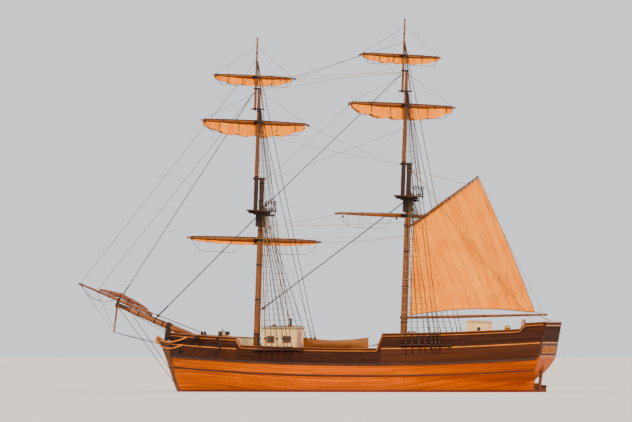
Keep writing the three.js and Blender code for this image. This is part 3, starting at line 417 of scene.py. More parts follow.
def mottled(name, slot, roughness, one, other, scale, detail, bump=0.0, distance=0.004, **sockets):
    """A finish whose colour and height wander between two tones by a noise of that scale per metre."""
    made = finish(name, roughness, slot, **sockets)
    where = add_node(made, "TexCoord", out="Object")
    patches = add_node(made, "TexNoise", {"Vector": where, "Scale": scale, "Detail": detail})
    colour = add_node(made, "Mix", {"Factor": patches, "A": one, "B": other}, data_type="RGBA")
    dress(made, colour, patches if bump else None, bump, distance)
    return made


def coat(node, material):
    """Gives a CAD node its finished material."""
    nodes[node].data.materials.clear()
    nodes[node].data.materials.append(material)


stem_oak = finish("oak_backbone_part_painted", 0.55, "bottom")
oak_colour, oak_grain = drawn_grain(stem_oak, "#6E4224", "#4A2A17", "Object", (1.2, 12, 3))
depth = add_node(stem_oak, "SeparateXYZ", {0: add_node(stem_oak, "TexCoord", out="Object")}, "Z")
below = add_node(stem_oak, "MapRange", {"Value": depth, "From Min": 0.13, "From Max": 0.11})
oak_colour = add_node(stem_oak, "Mix", {"Factor": below, "A": oak_colour, "B": "#6A2D20"}, data_type="RGBA")
dress(stem_oak, oak_colour, oak_grain, 0.35, 0.01)
coat("backbone", stem_oak)
coat("rudder", stem_oak)


AHEAD, PORT, UP = np.eye(3)


def both(*parts):
    """Parts and their mirror images on the other side of the ship."""
    return [each for part in parts for each in (part, part * [1, -1, 1])]


def unit(way):
    return way / np.linalg.norm(way, axis=-1, keepdims=True)


def round_ring(radius, sides=8):
    """A circle of that radius, or one for each row; its points go up one side and down the other."""
    angle = -np.pi / 2 + (np.arange(sides) + 0.5) * 2 * np.pi / sides
    radius = np.asarray(radius, float)[..., None, None]
    return radius * np.stack([np.cos(angle), np.sin(angle)], -1)


def square_ring(wide, high, edge=0.006):
    """A rectangle with its corners cut off by edge; its points go up one side and down the other."""
    a, b, edge = alike(wide / 2, high / 2, edge)
    right = [(a - edge, -b), (a, edge - b), (a, b - edge), (a - edge, b)]
    return np.stack([np.stack(point, -1) for point in right + [(-x, y) for x, y in right[::-1]]], -2)


def carry(path, ring, up=None):
    """A profile carried along a path (..., rows, 3), square to it at each row and with up as its top."""
    path = np.asarray(path, float)
    if np.allclose(path[..., 0, :], path[..., -1, :], atol=1e-6):
        way = np.roll(path[..., :-1, :], -1, -2) - np.roll(path[..., :-1, :], 1, -2)
        way = np.concatenate([way, way[..., :1, :]], -2)
    else:
        way = np.gradient(path, axis=-2)
    way = unit(way)
    if up is None:
        up = np.eye(3)[np.abs(way.mean(-2)).argmin(-1)][..., None, :]
    across = unit(np.cross(up, way))
    over = np.cross(way, across)
    return path[..., None, :] + ring[..., :1] * across[..., None, :] + ring[..., 1:] * over[..., None, :]


def between(start, end, rows=2):
    """Straight paths from each start to its end, in that many rows."""
    start, end = alike(start, end)
    return start[..., None, :] + np.linspace(0, 1, rows)[:, None] * (end - start)[..., None, :]


def bar(start, end, wide, high, edge=0.006, up=None, rows=2):
    """Straight square-edged work from each start to its end."""
    return carry(between(start, end, rows), square_ring(wide, high, edge), up)


black_iron = mottled("forged_black_iron", "iron", 0.5, "#17171A", "#33302F", 18.0, 4.0, 0.35, Metallic=0.55)

# Columns: where each strap starts and ends, ahead of the pins' line, its half breadth, its height over a
# gudgeon.
for name, body, start, end, half, lift in (("gudgeons", "hull", 0.315, 0.09, 0.135, 0.0),
                                           ("pintle_straps", "rudder", -0.525, -0.15, 0.08, 0.075)):
    strap_z = np.array([-2.1, -1.2, -0.35, 0.3]) + lift
    pins = spot(stern_x(strap_z) - 0.39, half, strap_z)
    shape(name, both(bar(pins + start * AHEAD, pins + end * AHEAD, 0.016, 0.07, 0.004, UP)), black_iron, body)


# Wales and mouldings: heavier strakes of stained oak along the side at the main deck and below it, which
# stiffen it and take the wear, and planed rails of varnished larch above them, which draw the sheer.
stained_oak = timber("stained_oak", "dark_wood", 0.5, "#4A2D20", "#2C1A13")
golden_larch = timber("varnished_larch_moulding", "varnished_spar", 0.35, "#D08A45", "#A8632B")


def along_side(first, last, height, inset, wide, high, edge=0.012, count=70):
    """A rail carried along both sides between two shares, at a height that is a function of the share."""
    t = stations(count, first, last)
    return both(carry(side_point(t, height(t), inset), square_ring(wide, high, edge), UP))


shape("wales", along_side(0.004, 0.9975, lambda t: main_deck_z(t) - 0.09, 0.0, 0.11, 0.17)
      + along_side(0.004, 0.9975, lambda t: main_deck_z(t) - 0.86, 0.0, 0.07, 0.11), stained_oak)
shape("sheer_mouldings",
      along_side(0.004, QUARTERDECK_END, lambda t: main_deck_z(t) + 0.98, 0.0, 0.07, 0.08)
      + along_side(FORECASTLE_START, 0.998, lambda t: main_deck_z(t) + 0.73, 0.0, 0.07, 0.08)
      + along_side(0.006, 0.997, lambda t: rail_z(t) - 0.13, 0.0, 0.05, 0.05, 0.01), golden_larch)


# Bulwarks: oak stanchions planked outside and painted cream inside, with the channels bolted to their outer
# face to spread the shrouds, and the catheads that the anchors hang from.
WALL = 0.13
INBOARD_V = 12.0
oak_planks = finish("stained_oak_bulwark", 0.7, "dark_wood", Specular_IOR_Level=0.15)
wall_colour, wall_ridge, wall_over = planks(oak_planks, 5.0, 0.17, 0.02, "#4B2C1F", "#3A2118", "#1A0F0B")
inboard = add_node(oak_planks, "MapRange", {"Value": wall_over, "From Min": 9.9, "From Max": 10.0})
wall_colour = add_node(oak_planks, "Mix", {"Factor": inboard, "A": wall_colour, "B": "#D9C9A6"},
                       data_type="RGBA")
dress(oak_planks, wall_colour, wall_ridge, 0.4, 0.015)


def walled(outer, inner, uv):
    """A wall from its two faces. Inboard v runs on past INBOARD_V, where the material turns to cream."""
    lined = (uv + [0, INBOARD_V])[:, ::-1]
    return np.concatenate([outer, inner[:, ::-1]], 1), np.concatenate([uv, lined, lined[:, -1:]], 1)


wall_t = stations(120)
wall_z = mix((deck_z(wall_t) + 0.0005)[:, None], rail_z(wall_t)[:, None], np.linspace(0, 1, 7))
wall_uv = np.stack(alike(station_x(wall_t)[:, None], wall_z - main_deck_z(wall_t)[:, None]), -1)
walls = [walled(side_point(wall_t[:, None], wall_z, 0, side), side_point(wall_t[:, None], wall_z, WALL, side),
                wall_uv + [side * 40, 0]) for side in (1, -1)]
aft_z = np.linspace(float(deck_z(0.0)) + 0.0005, float(rail_z(0.0)) - 0.015, 7)
aft_share = np.linspace(-1, 1, 9)[:, None]
aft_wall = spot(stern_x(aft_z), aft_share * (stern_half(aft_z) - WALL / 2), aft_z)
walls.append(walled(aft_wall, aft_wall + WALL * AHEAD, np.stack(alike(aft_share * 2.3, aft_z - 2.0), -1)))
shape("bulwark_planking", walls, oak_planks, replaces="bulwarks")

CHANNELS = {"fore": (3.21, 6.81, 2.82), "main": (-7.12, -3.52, 3.13)}
CATHEAD_X = 11.15
ledges = []
for first, last, z in CHANNELS.values():
    ledges += along_side(share_at(first), share_at(last), lambda t: z + 0.045, -0.12, 0.28, 0.09, 0.02)
    t = share_at(np.linspace(first + 0.2, last - 0.2, 6))
    ledges += both(bar(side_point(t, z - 0.22, -0.01), side_point(t, z + 0.005, -0.2), 0.05, 0.06, 0.008, UP))
cathead_t = share_at(CATHEAD_X)
cathead_root = side_point(cathead_t, float(rail_z(cathead_t)) - 0.13, WALL / 2)
cathead_root[0] = CATHEAD_X
thick = np.array([0.2, 0.2, 0.2, 0.2, 0.184])
ledges += both(carry(between(cathead_root, cathead_root + 0.75 * PORT, 5), square_ring(thick, thick, 0.02),
                     UP))
shape("channels_and_catheads", ledges, stained_oak)


# Stern: four sashes light the after cabin from the flat transom, in varnished frames between planed
# mouldings, and hinged lids close the freeing ports that clear the main deck of water. The lids are blank;
# the glass is opaque and dark, painted shade of the cabin behind it.
def on_transom(y, z, proud=0.0):
    return spot(stern_x(z) - proud, y, z)


AFT = np.array([-1.0, 0, -0.2])
sash_y, sash_z, sash_wide, sash_high = np.array([-1.45, -0.5, 0.5, 1.45]), 2.87, 0.58, 0.44
sash_left, sash_right = sash_y - sash_wide / 2, sash_y + sash_wide / 2
sashes = []
for shift, thick in ((-0.5, 0.06), (0.5, 0.06), (0.0, 0.025)):
    y, z, half = sash_y + shift * sash_wide, sash_z + shift * sash_high, sash_high / 2 + 0.03
    sashes += [bar(on_transom(y, sash_z - half, 0.01), on_transom(y, sash_z + half, 0.01), thick, 0.06, 0.008,
                   AFT),
               bar(on_transom(sash_left, z, 0.012), on_transom(sash_right, z, 0.012), thick, 0.06, 0.008,
                   AFT)]
for z in (2.42, 3.34, 4.5):
    half = float(stern_half(z)) - 0.04
    sashes.append(bar(on_transom(-half, z), on_transom(half, z), 0.09, 0.07, 0.015, AFT))
shape("stern_sashes_and_mouldings", sashes, golden_larch)
lids, lid_hinges = [], []
for x in (-0.9, 0.55, 2.0):
    t = share_at(np.linspace(x, x + 0.62, 5))
    lids += both(carry(side_point(t, main_deck_z(t) + 0.33, -0.006), square_ring(0.03, 0.34, 0.008), UP))
    t = share_at(np.array([x + 0.12, x + 0.5]))
    low, high = (side_point(t, main_deck_z(t) + up, -0.024) for up in (0.3, 0.56))
    lid_hinges += both(bar(low, high, 0.04, 0.012, 0.003, PORT))
shape("freeing_port_lids", lids, oak_planks)
shape("freeing_port_hinges", lid_hinges, black_iron)


# Paint on the deck structures and the stanchions inside the bulwarks: oil paint, cream, brushed on, a little
# grimy.
cream_paint = finish("cream_oil_paint", 0.45, "cream_paint")
cream_at = add_node(cream_paint, "TexCoord", out="Object")
grime = add_node(cream_paint, "TexNoise",
                 {"Vector": cream_at, "Scale": 1.6, "Detail": 6.0, "Roughness": 0.65})
brushed = add_node(cream_paint, "TexNoise", {"Vector": cream_at, "Scale": 24.0, "Detail": 3.0})
dull = add_node(cream_paint, "MapRange", {"Value": grime, "From Min": 0.45, "From Max": 0.75})
cream = add_node(cream_paint, "Mix", {"Factor": dull, "A": "#E9CFA0", "B": "#C9A874"}, data_type="RGBA")
dress(cream_paint, cream, brushed, 0.12, 0.003)

post_t = np.r_[np.linspace(0.02, 0.4, 14), np.linspace(0.43, 0.78, 13), np.linspace(0.815, 0.985, 8)]
foot = side_point(post_t, deck_z(post_t) + 0.06, WALL + 0.045)
over_foot = np.interp(foot[:, 0], hull_x(wall_t, rail_z(wall_t)), wall_t)
head = side_point(over_foot, rail_z(over_foot) - 0.001, WALL + 0.045)
shape("bulwark_stanchions", both(bar(foot, head, 0.1, 0.1, 0.012, AHEAD)), cream_paint)


# Cap rail: larch planks scarphed end to end right round the top of the bulwarks and bolted down on their
# stanchions, with their edges rounded by hand, and varnished.
rail_larch = timber("varnished_rail", "varnished_spar", 0.3, "#9A5A2C", "#6E3A1C", Coat_Weight=0.4,
                    Coat_Roughness=0.15)
rails = along_side(0, 1, lambda t: rail_z(t) + 0.0355, 0.0725, 0.235, 0.07, 0.022, 130)
z = float(rail_z(0.0)) + 0.0355
quarter = np.array([stern_x(z) + 0.0725, stern_half(z) + 0.045, z])
rails.append(bar(quarter * [1, -1, 1], quarter, 0.235, 0.072, 0.022, UP, rows=5))
shape("cap_rail_plank", rails, rail_larch, replaces="cap_rail")


# Decks: scrubbed pine planks 120 mm wide on cambered beams, payed with pitch, with a stained oak waterway at
# the side.
scrubbed_pine = finish("scrubbed_pine_deck", 0.75, "deck_planks")
dress(scrubbed_pine, *planks(scrubbed_pine, 6.2, 0.12, 0.014, "#CDB78E", "#BBA177", "#40362C")[:2], 0.4,
      0.008)
across = np.linspace(1, -1, 17)
arched = 1 - across ** 2


def deck_rings(first, last):
    """A slab between the bulwarks: top arched across by a parabola, flat below."""
    t = stations(70, first, last)
    edge = side_point(np.clip(t, 0.006, 0.993), deck_z(t), WALL + 0.016)
    y, low = across * np.maximum(edge[:, 1:2], 0.06), deck_z(t)[:, None]
    top, foot = spot(edge[:, :1], y, low + 0.06 + 0.09 * arched), spot(edge[:, :1], y, low + 0.0005)
    rings = np.concatenate([top, foot[:, ::-1]], 1)
    return rings, np.concatenate([rings, rings[:, :1]], 1)[..., :2]


DECKS = {"quarterdeck": (0.0, QUARTERDECK_END),
         "main_deck": (QUARTERDECK_END + STEP, FORECASTLE_START - STEP),
         "forecastle_deck": (FORECASTLE_START, 1.0)}
waterways = []
for name, (first, last) in DECKS.items():
    shape(name + "_planks", [deck_rings(first, last)], scrubbed_pine, "hull", 30, name)
    waterways += along_side(max(first, 0.012), min(last, 0.985), lambda t: deck_z(t) + 0.085, WALL + 0.07,
                            0.11, 0.06, 0.015)
shape("waterways", waterways, stained_oak)


# Deck breaks: bulkheads of matched oak boards, set upright, that close the steps up to quarterdeck and
# forecastle, each under a coaming along the edge of the deck above.
def boards(low, high, edge=0.006):
    """Planed boards from lowest to highest corners (items, 3), each with its longest way along the grain."""
    low, high = alike(np.atleast_2d(low), np.atleast_2d(high))
    edge = min(edge, 0.24 * float((high - low).min()))
    turn = -int((high - low).mean(0).argmax())
    low, high = np.roll(low, turn, 1), np.roll(high, turn, 1)
    inset = np.array([edge, 0, 0, edge])
    size = (high - low)[:, None] - 2 * inset[:, None]
    rows = np.stack([low[:, 0], low[:, 0] + edge, high[:, 0] - edge, high[:, 0]], 1)
    ring = square_ring(size[..., 1], size[..., 2], edge) + ((high + low) / 2)[:, None, None, 1:]
    return np.roll(np.concatenate([np.broadcast_to(rows[..., None, None], (*ring.shape[:3], 1)), ring], -1),
                   -turn, -1)


def about(centre, half, edge=0.006):
    """Planed boards by their centres and half sizes."""
    return boards(np.asarray(centre) - half, np.asarray(centre) + half, edge)


def matched(first, last, plane, count, low, high, axis):
    """Upright boards side by side along x or y, between two ends, on a wall plane, with V joints."""
    edges = np.linspace(first, last, count + 1)
    a, b = spot(edges[:-1] + 0.002, plane - 0.016, low), spot(edges[1:] - 0.002, plane + 0.016, high)
    order = [0, 1, 2] if axis == "x" else [1, 0, 2]
    return boards(a[:, order], b[:, order], 0.007)


bulkheads = []
for share, facing in ((QUARTERDECK_END, 1), (FORECASTLE_START, -1)):
    x, top = float(station_x(share)) + facing * 0.02, float(deck_z(share)) + 0.02
    half = float(hull_half(share, top - 0.3)) - WALL - 0.02
    bulkheads += [matched(-half, half, x, 33, float(main_deck_z(share)) + 0.06, top, "y"),
                  boards([x - 0.05, -half, top - 0.06], [x + 0.05, half, top + 0.045], 0.012)]
shape("deck_break_bulkheads", bulkheads, stained_oak)


# Deckhouse: matched boards on an oak frame, painted cream, with sash windows, a panelled door in its after
# end, and a cambered roof under painted canvas that carries the galley's iron stove pipe.
HOUSE_AFT, HOUSE_FORE, HOUSE_HALF = 4.35, 6.7, 1.15
house_deck = deck_top(5.525)
house_foot, house_top = house_deck - 0.14, house_deck + 2.1
corner_x = np.array([HOUSE_AFT + 0.045, HOUSE_FORE - 0.045])
house = [boards([HOUSE_AFT + 0.04, -1.11, house_foot], [HOUSE_FORE - 0.04, 1.11, house_top - 0.01]),
         *both(matched(HOUSE_AFT, HOUSE_FORE, HOUSE_HALF - 0.026, 18, house_foot, house_top, "x"),
               boards(spot(corner_x - 0.05, 1.055, house_foot), spot(corner_x + 0.05, 1.155, house_top),
                      0.01)),
         *(matched(-1.12, 1.12, x, 17, house_foot, house_top, "y")
           for x in (HOUSE_AFT + 0.026, HOUSE_FORE - 0.026))]
shape("deckhouse_walls", house, cream_paint, replaces="deckhouse")

painted_canvas = mottled("painted_canvas_roof", "cream_paint", 0.8, "#8F8A78", "#B5AD95", 3.0, 8.0, 0.3,
                         0.006)
roof_x = np.array([[HOUSE_AFT - 0.11], [HOUSE_AFT - 0.1], [HOUSE_FORE + 0.1], [HOUSE_FORE + 0.11]])
roof_y = across * np.array([[1.245], [1.26], [1.26], [1.245]])
roof = [spot(roof_x, roof_y, house_top + 0.03 + 0.085 * arched), spot(roof_x, roof_y, house_top)[:, ::-1]]
shape("deckhouse_roof", [np.concatenate(roof, 1)], painted_canvas)


def frames(centres, wide, high, axis, stile=0.06, deep=0.05, glazing=(0, 0)):
    """Joined frames round openings on a wall that faces along an axis: stiles, rails and glazing bars."""
    standing, level = glazing
    rows = [(-wide / 2, 0, stile, high + stile, 1.0), (wide / 2, 0, stile, high + stile, 1.0),
            (0, -high / 2, wide - stile, stile, 1.0), (0, high / 2, wide - stile, stile, 1.0)]
    rows += [(k * wide / (standing + 1) - wide / 2, 0, 0.025, high - stile, 0.8)
             for k in range(1, standing + 1)]
    rows += [(0, k * high / (level + 1) - high / 2, wide - stile, 0.025, 0.7) for k in range(1, level + 1)]
    order = [1, 0, 2] if axis == 1 else [0, 1, 2]
    return [about(np.array(centres) + np.array([0, du, dz])[order],
                  np.array([deep * share, w, h])[order] / 2, min(0.006, 0.3 * deep * share))
            for du, dz, w, h, share in rows]


varnished_teak = timber("varnished_teak", "varnished_spar", 0.3, "#B06C35", "#7A431E", bump=0.2,
                        Coat_Weight=0.5, Coat_Roughness=0.12)
window_z = house_deck + 1.35
side_windows = [(x, side * (HOUSE_HALF + 0.004), window_z) for x in (4.95, 6.1) for side in (1, -1)]
end_windows = [(HOUSE_FORE + 0.004, y, window_z) for y in (-0.55, 0.55)]
grab_feet = spot(np.linspace(4.5, 6.55, 6), 1.0, house_top + 0.03)
rail_ends = spot(np.array([HOUSE_AFT + 0.1, HOUSE_FORE - 0.1]), 1.0, house_top + 0.16)
joinery = [*frames(side_windows, 0.5, 0.42, 1, glazing=(1, 1)),
           *frames(end_windows, 0.42, 0.42, 0, glazing=(1, 1)),
           *frames([(HOUSE_AFT - 0.004, 0.1, house_deck + 0.98)], 0.72, 1.78, 0, 0.09, 0.06, (0, 2)),
           matched(-0.24, 0.44, HOUSE_AFT - 0.006, 6, house_deck + 0.12, house_deck + 1.84, "y"),
           *both(bar(*rail_ends, 0.05, 0.06, 0.018),
                 bar(grab_feet, grab_feet + 0.12 * UP, 0.05, 0.09, 0.012))]
shape("deckhouse_joinery", joinery, varnished_teak)

# The glass is opaque, a patchy dark grey-green: painted shade of what lies behind it.
window_glass = mottled("window_glass", None, 0.05, "#1B2528", "#37474B", 1.3, 2.0, IOR=1.5, Coat_Weight=0.3)
panes = [about(side_windows, [0.24, 0.008, 0.2]), about(end_windows, [0.008, 0.2, 0.2])]
shape("deckhouse_panes", panes, window_glass)
stern_panes = bar(on_transom(sash_left, sash_z, 0.004), on_transom(sash_right, sash_z, 0.004), sash_high,
                  0.012, 0.002, AFT)
shape("stern_panes", [stern_panes], window_glass)


def turned(foot, way, rows, sides=12):
    """Round work from each foot along its way: at each row of (distance, radius), a circle square to it."""
    foot, way = alike(np.atleast_2d(foot), np.atleast_2d(way))
    way = unit(way)
    side = unit(np.cross(np.eye(3)[np.abs(way).argmin(1)], way))
    over = np.cross(way, side)
    rows = np.asarray(rows, float)
    ring = round_ring(rows[:, 1], sides)
    centre = foot[:, None] + rows[:, :1] * way[:, None]
    return centre[:, :, None] + ring[..., :1] * side[:, None, None] + ring[..., 1:] * over[:, None, None]


pipe_foot = [HOUSE_AFT + 0.5, 0.5, house_top + 0.07]
pipe_rows = [(0, 0.13), (0.05, 0.13), (0.06, 0.08), (0.42, 0.08), (0.43, 0.095), (0.46, 0.095), (0.47, 0.075)]
hood_rows = [(0.5, 0.02), (0.505, 0.15), (0.56, 0.14), (0.6, 0.03)]
vents = [(6.3, -0.5, house_top + 0.08), (5.2, -0.55, house_top + 0.08)]
vent_rows = [(0, 0.07), (0.12, 0.06), (0.125, 0.14), (0.15, 0.15), (0.19, 0.1), (0.2, 0.01)]
shape("stove_pipe_and_vents", [turned(pipe_foot, UP, pipe_rows), turned(pipe_foot, UP, hood_rows),
                               turned(pipe_foot, UP, [(0.45, 0.02), (0.55, 0.02)], 6),
                               turned(vents, UP, vent_rows)], black_iron)


# Cargo hatch: an oak coaming with lift-out pine covers, held down by iron battens and wedges, under the
# ship's boat.
hatch_deck = deck_top(1.8)
hatch_foot, hatch_top = hatch_deck - 0.13, hatch_deck + 0.42
coaming = [*both(boards([0.6, 0.905, hatch_foot], [3.0, 0.95, hatch_top], 0.02)),
           boards(spot([0.6, 2.92], -0.95, hatch_foot), spot([0.68, 3.0], 0.95, hatch_top), 0.02)]
shape("hatch_coaming", coaming, stained_oak, replaces="cargo_hatch")
cover_x = np.linspace(0.69, 2.91, 13)
covers = boards(spot(cover_x[:-1] + 0.004, -0.86, hatch_deck + 0.36),
                spot(cover_x[1:] - 0.004, 0.86, hatch_deck + 0.455), 0.01)
shape("hatch_covers", [covers], scrubbed_pine)
batten_y = np.array([-0.6, 0, 0.6])
lugs = spot([[0.585], [3.015]], batten_y, hatch_deck + 0.355).reshape(-1, 3)
shape("hatch_battens", [about(spot(1.8, batten_y, hatch_deck + 0.466), [1.18, 0.04, 0.01], 0.004),
                        about(lugs, [0.02, 0.05, 0.115])], black_iron)


# Skylight: a teak box bolted down over the after cabin, with two leaves of glass that slope from its ridge,
# in teak frames with glazing bars, under brass guard bars.
SKY_AFT, SKY_FORE, SKY_HALF = -6.1, -4.7, 0.65
eave = deck_top(-5.4) + 0.52
box_foot = eave - 0.65
gable = 0.97 * np.array([(0.7, 0), (0.7, 0.02), (0.02, 0.32), (-0.02, 0.32), (-0.7, 0.02), (-0.7, 0)])
leaf_y, leaf_z = np.array([(0.03, 0.33), (0.7, 0.02)]).T + [[0], [eave]]
bar_x = np.linspace(SKY_AFT - 0.02, SKY_FORE + 0.02, 5)
skylight = [*both(boards([SKY_AFT, SKY_HALF - 0.03, box_foot], [SKY_FORE, SKY_HALF, eave], 0.012),
                  bar(spot(bar_x, leaf_y[0], leaf_z[0]), spot(bar_x, leaf_y[1], leaf_z[1]), 0.05, 0.07, 0.01,
                      AHEAD),
                  bar(spot(SKY_AFT - 0.045, leaf_y, leaf_z), spot(SKY_FORE + 0.045, leaf_y, leaf_z), 0.09,
                      0.07, 0.012, UP)),
            boards(spot([SKY_AFT, SKY_FORE - 0.06], -SKY_HALF, box_foot),
                   spot([SKY_AFT + 0.06, SKY_FORE], SKY_HALF, eave), 0.012),
            *(spot([[x], [x + 0.06]], gable[:, 0], eave + gable[:, 1])
              for x in (SKY_AFT - 0.04, SKY_FORE - 0.02))]
shape("skylight_box", skylight, varnished_teak, replaces="skylight")
slopes = both(bar([SKY_AFT, 0.36, eave + 0.165], [SKY_FORE, 0.36, eave + 0.165], 0.74, 0.02, 0.004,
                  [0, 0.42, 0.9]))
shape("skylight_glass", slopes, window_glass)
polished_brass = mottled("cast_polished_brass", "brass", 0.28, "#8E6A2B", "#D3AC5C", 7.0, 4.0, 0.08, 0.002,
                         Metallic=1.0)
guard_x = np.linspace(SKY_AFT + 0.1, SKY_FORE - 0.1, 9)
guards = between(spot(guard_x, 0.06, eave + 0.36), spot(guard_x, 0.66, eave + 0.09))
shape("skylight_guards", both(carry(guards, round_ring(0.009, 6))), polished_brass)


# Companionway: a hood of matched boards painted cream over the cabin stairs, with a round light each side, a
# sliding hatch on teak runners and, in its fore side, a teak door on two strap hinges.
HOOD_AFT, HOOD_FORE, HOOD_HALF = -9.0, -7.5, 0.56
hood_deck = deck_top(-8.25)
hood_foot, hood_eave, hood_top = hood_deck - 0.12, hood_deck + 1.45, hood_deck + 1.51
post_x = np.array([HOOD_AFT + 0.03, HOOD_FORE - 0.03])
hood = [*both(matched(HOOD_AFT, HOOD_FORE, HOOD_HALF - 0.026, 11, hood_foot, hood_eave, "x"),
              boards(spot(post_x - 0.04, 0.49, hood_foot), spot(post_x + 0.04, 0.57, hood_eave), 0.008),
              boards([HOOD_FORE - 0.06, 0.42, hood_foot], [HOOD_FORE, 0.53, hood_eave], 0.004)),
        matched(-0.53, 0.53, HOOD_AFT + 0.026, 8, hood_foot, hood_eave, "y"),
        boards([HOOD_FORE - 0.06, -0.42, hood_deck + 1.36], [HOOD_FORE, 0.42, hood_eave], 0.004),
        boards([HOOD_AFT + 0.05, -0.52, hood_foot], [HOOD_FORE, 0.52, hood_deck + 0.02], 0.004),
        boards([HOOD_AFT - 0.06, -0.62, hood_eave], [HOOD_FORE + 0.06, 0.62, hood_top], 0.018)]
shape("companion_hood", hood, cream_paint, replaces="companionway")
teak_leaf = timber("varnished_teak_leaf", "varnished_spar", 0.3, "#B06C35", "#7A431E", "Object",
                   (14, 14, 1.0), 0.2, Coat_Weight=0.5, Coat_Roughness=0.12)
coat("companion_door", teak_leaf)
slide = [boards([-8.2, -0.42, hood_top + 0.002], [-7.46, 0.42, hood_top + 0.07], 0.015),
         *both(boards([-8.95, 0.47, hood_top + 0.002], [-7.5, 0.53, hood_top + 0.05], 0.01)),
         *frames([(-7.488, 0.0, hood_deck + 0.72)], 0.95, 1.34, 0, 0.05, 0.035),
         boards([-7.5, -0.5, hood_deck], [-7.36, 0.5, hood_deck + 0.05], 0.012)]
shape("companion_slide_and_casing", slide, varnished_teak)


def oval(centre, one, other, count=24):
    """Closed paths round each centre, from the end of one half axis towards the end of the other."""
    turn = np.linspace(0, 2 * np.pi, count + 1)[:, None]
    centre, one, other = (each[..., None, :] for each in alike(centre, one, other))
    path = centre + np.cos(turn) * one + np.sin(turn) * other
    path[..., -1, :] = path[..., 0, :]
    return path


light_at = np.array([-8.35, HOOD_HALF - 0.008, hood_deck + 1.02])
light_rims = both(carry(oval(light_at, 0.12 * AHEAD, 0.12 * UP), round_ring(0.02)))
shape("companion_port_light_rims", light_rims, polished_brass)
shape("companion_port_lights", both(turned(light_at, PORT, [(-0.013, 0.11), (0.013, 0.11)], 20)),
      window_glass)
door_panels = frames([(-7.501, 0, hood_deck + up) for up in (0.42, 1.02)], 0.6, 0.46, 0, 0.07, 0.012)
shape("companion_door_panels", door_panels, varnished_teak, "companion_door")
strap_z = hood_deck + np.array([0.3, 1.15])
knob_rows = [(0, 0.03), (0.01, 0.03), (0.02, 0.012), (0.045, 0.03), (0.06, 0.02)]
door_brasses = [boards(spot(-7.506, 0.06, strap_z - 0.02), spot(-7.493, 0.4, strap_z + 0.02), 0.003),
                turned([-7.504, -0.33, hood_deck + 0.72], AHEAD, knob_rows)]
shape("companion_door_brasses", door_brasses, polished_brass, "companion_door")


# Steering gear: a teak box over the rudder head, and an eight-spoked wheel turned in teak with a brass boss,
# spindle and rim plate. The binnacle ahead of it holds the compass.
coat("steering_box", teak_leaf)
WHEEL_AT, WHEEL_RADIUS = np.array([-11.35, 0, 4.3006]), 0.58
spoke_turn = np.arange(8) * np.pi / 4 + 0.2
spoke_way = spot(0, np.cos(spoke_turn), np.sin(spoke_turn))
spoke_rows = [(0.05, 0.024), (0.16, 0.018), (0.26, 0.03), (0.34, 0.018), (0.48, 0.024), (0.53, 0.024),
              (0.63, 0.02), (0.655, 0.016), (0.7, 0.025), (0.735, 0.022), (0.75, 0.008)]
hub_rows = [(-0.1, 0.08), (-0.07, 0.11), (0.07, 0.11), (0.1, 0.08)]
wheel = [carry(oval(WHEEL_AT, WHEEL_RADIUS * PORT, WHEEL_RADIUS * UP, 48), square_ring(0.075, 0.085, 0.018),
               AHEAD), turned(WHEEL_AT, spoke_way, spoke_rows, 10), turned(WHEEL_AT, AHEAD, hub_rows, 20)]
shape("steering_wheel_turned", wheel, varnished_teak, "helm", replaces="steering_wheel")
boss_rows = [(0.1, 0.06), (0.115, 0.055), (0.13, 0.025), (0.15, 0.02), (0.16, 0.005)]
rim_plate = oval(WHEEL_AT + 0.042 * AHEAD, 0.56 * PORT, 0.56 * UP, 48)
wheel_brass = [carry(rim_plate, square_ring(0.006, 0.03, 0.001), AHEAD),
               turned(WHEEL_AT, AHEAD, boss_rows, 16),
               turned(WHEEL_AT, AHEAD, [(-0.45, 0.038), (-0.09, 0.038)], 12)]
shape("steering_wheel_brass", wheel_brass, polished_brass, "helm")
box_panels = [*frames([(-11.95, 0.424, 3.94), (-11.95, -0.424, 3.94)], 0.6, 0.7, 1, 0.09, 0.02),
              *frames([(-11.546, 0, 3.94), (-12.354, 0, 3.94)], 0.64, 0.7, 0, 0.09, 0.02),
              boards([-12.39, -0.46, 4.482], [-11.51, 0.46, 4.505], 0.01)]
shape("steering_box_panels", box_panels, varnished_teak)
binnacle = np.array([-10.2, 0, deck_top(-10.2)])
stand_rows = [(-0.15, 0.2), (0.04, 0.2), (0.06, 0.16), (0.1, 0.15), (0.14, 0.13), (0.78, 0.13), (0.82, 0.17),
              (0.88, 0.2)]
bowl_rows = [(0.885, 0.205), (0.96, 0.205), (0.965, 0.185), (1.02, 0.19), (1.1, 0.15), (1.16, 0.08),
             (1.175, 0.05), (1.18, 0.01)]
cheek_rows = [(0.78, 0.01), (0.8, 0.05), (0.84, 0.07), (0.88, 0.05), (0.9, 0.01)]
shape("binnacle_stand", [turned(binnacle, UP, stand_rows, 16)], varnished_teak, replaces="binnacle")
shape("binnacle_hood",
      [turned(binnacle, UP, bowl_rows, 20), *both(turned(binnacle + 0.215 * PORT, UP, cheek_rows))],
      polished_brass)
shape("binnacle_pane", [about(binnacle + [-0.185, 0, 1.015], [0.015, 0.07, 0.03], 0.004)], window_glass)


# Ship's boat: clinker built of eight strakes a side, painted buff, with a varnished gunwale, thwarts and
# oars, standing on oak chocks over the hatch.
BOAT_X, BOAT_LONG, BOAT_HALF, BOAT_DEEP = 1.8, 4.6, 0.82, 0.76
boat_keel = hatch_top + 0.19


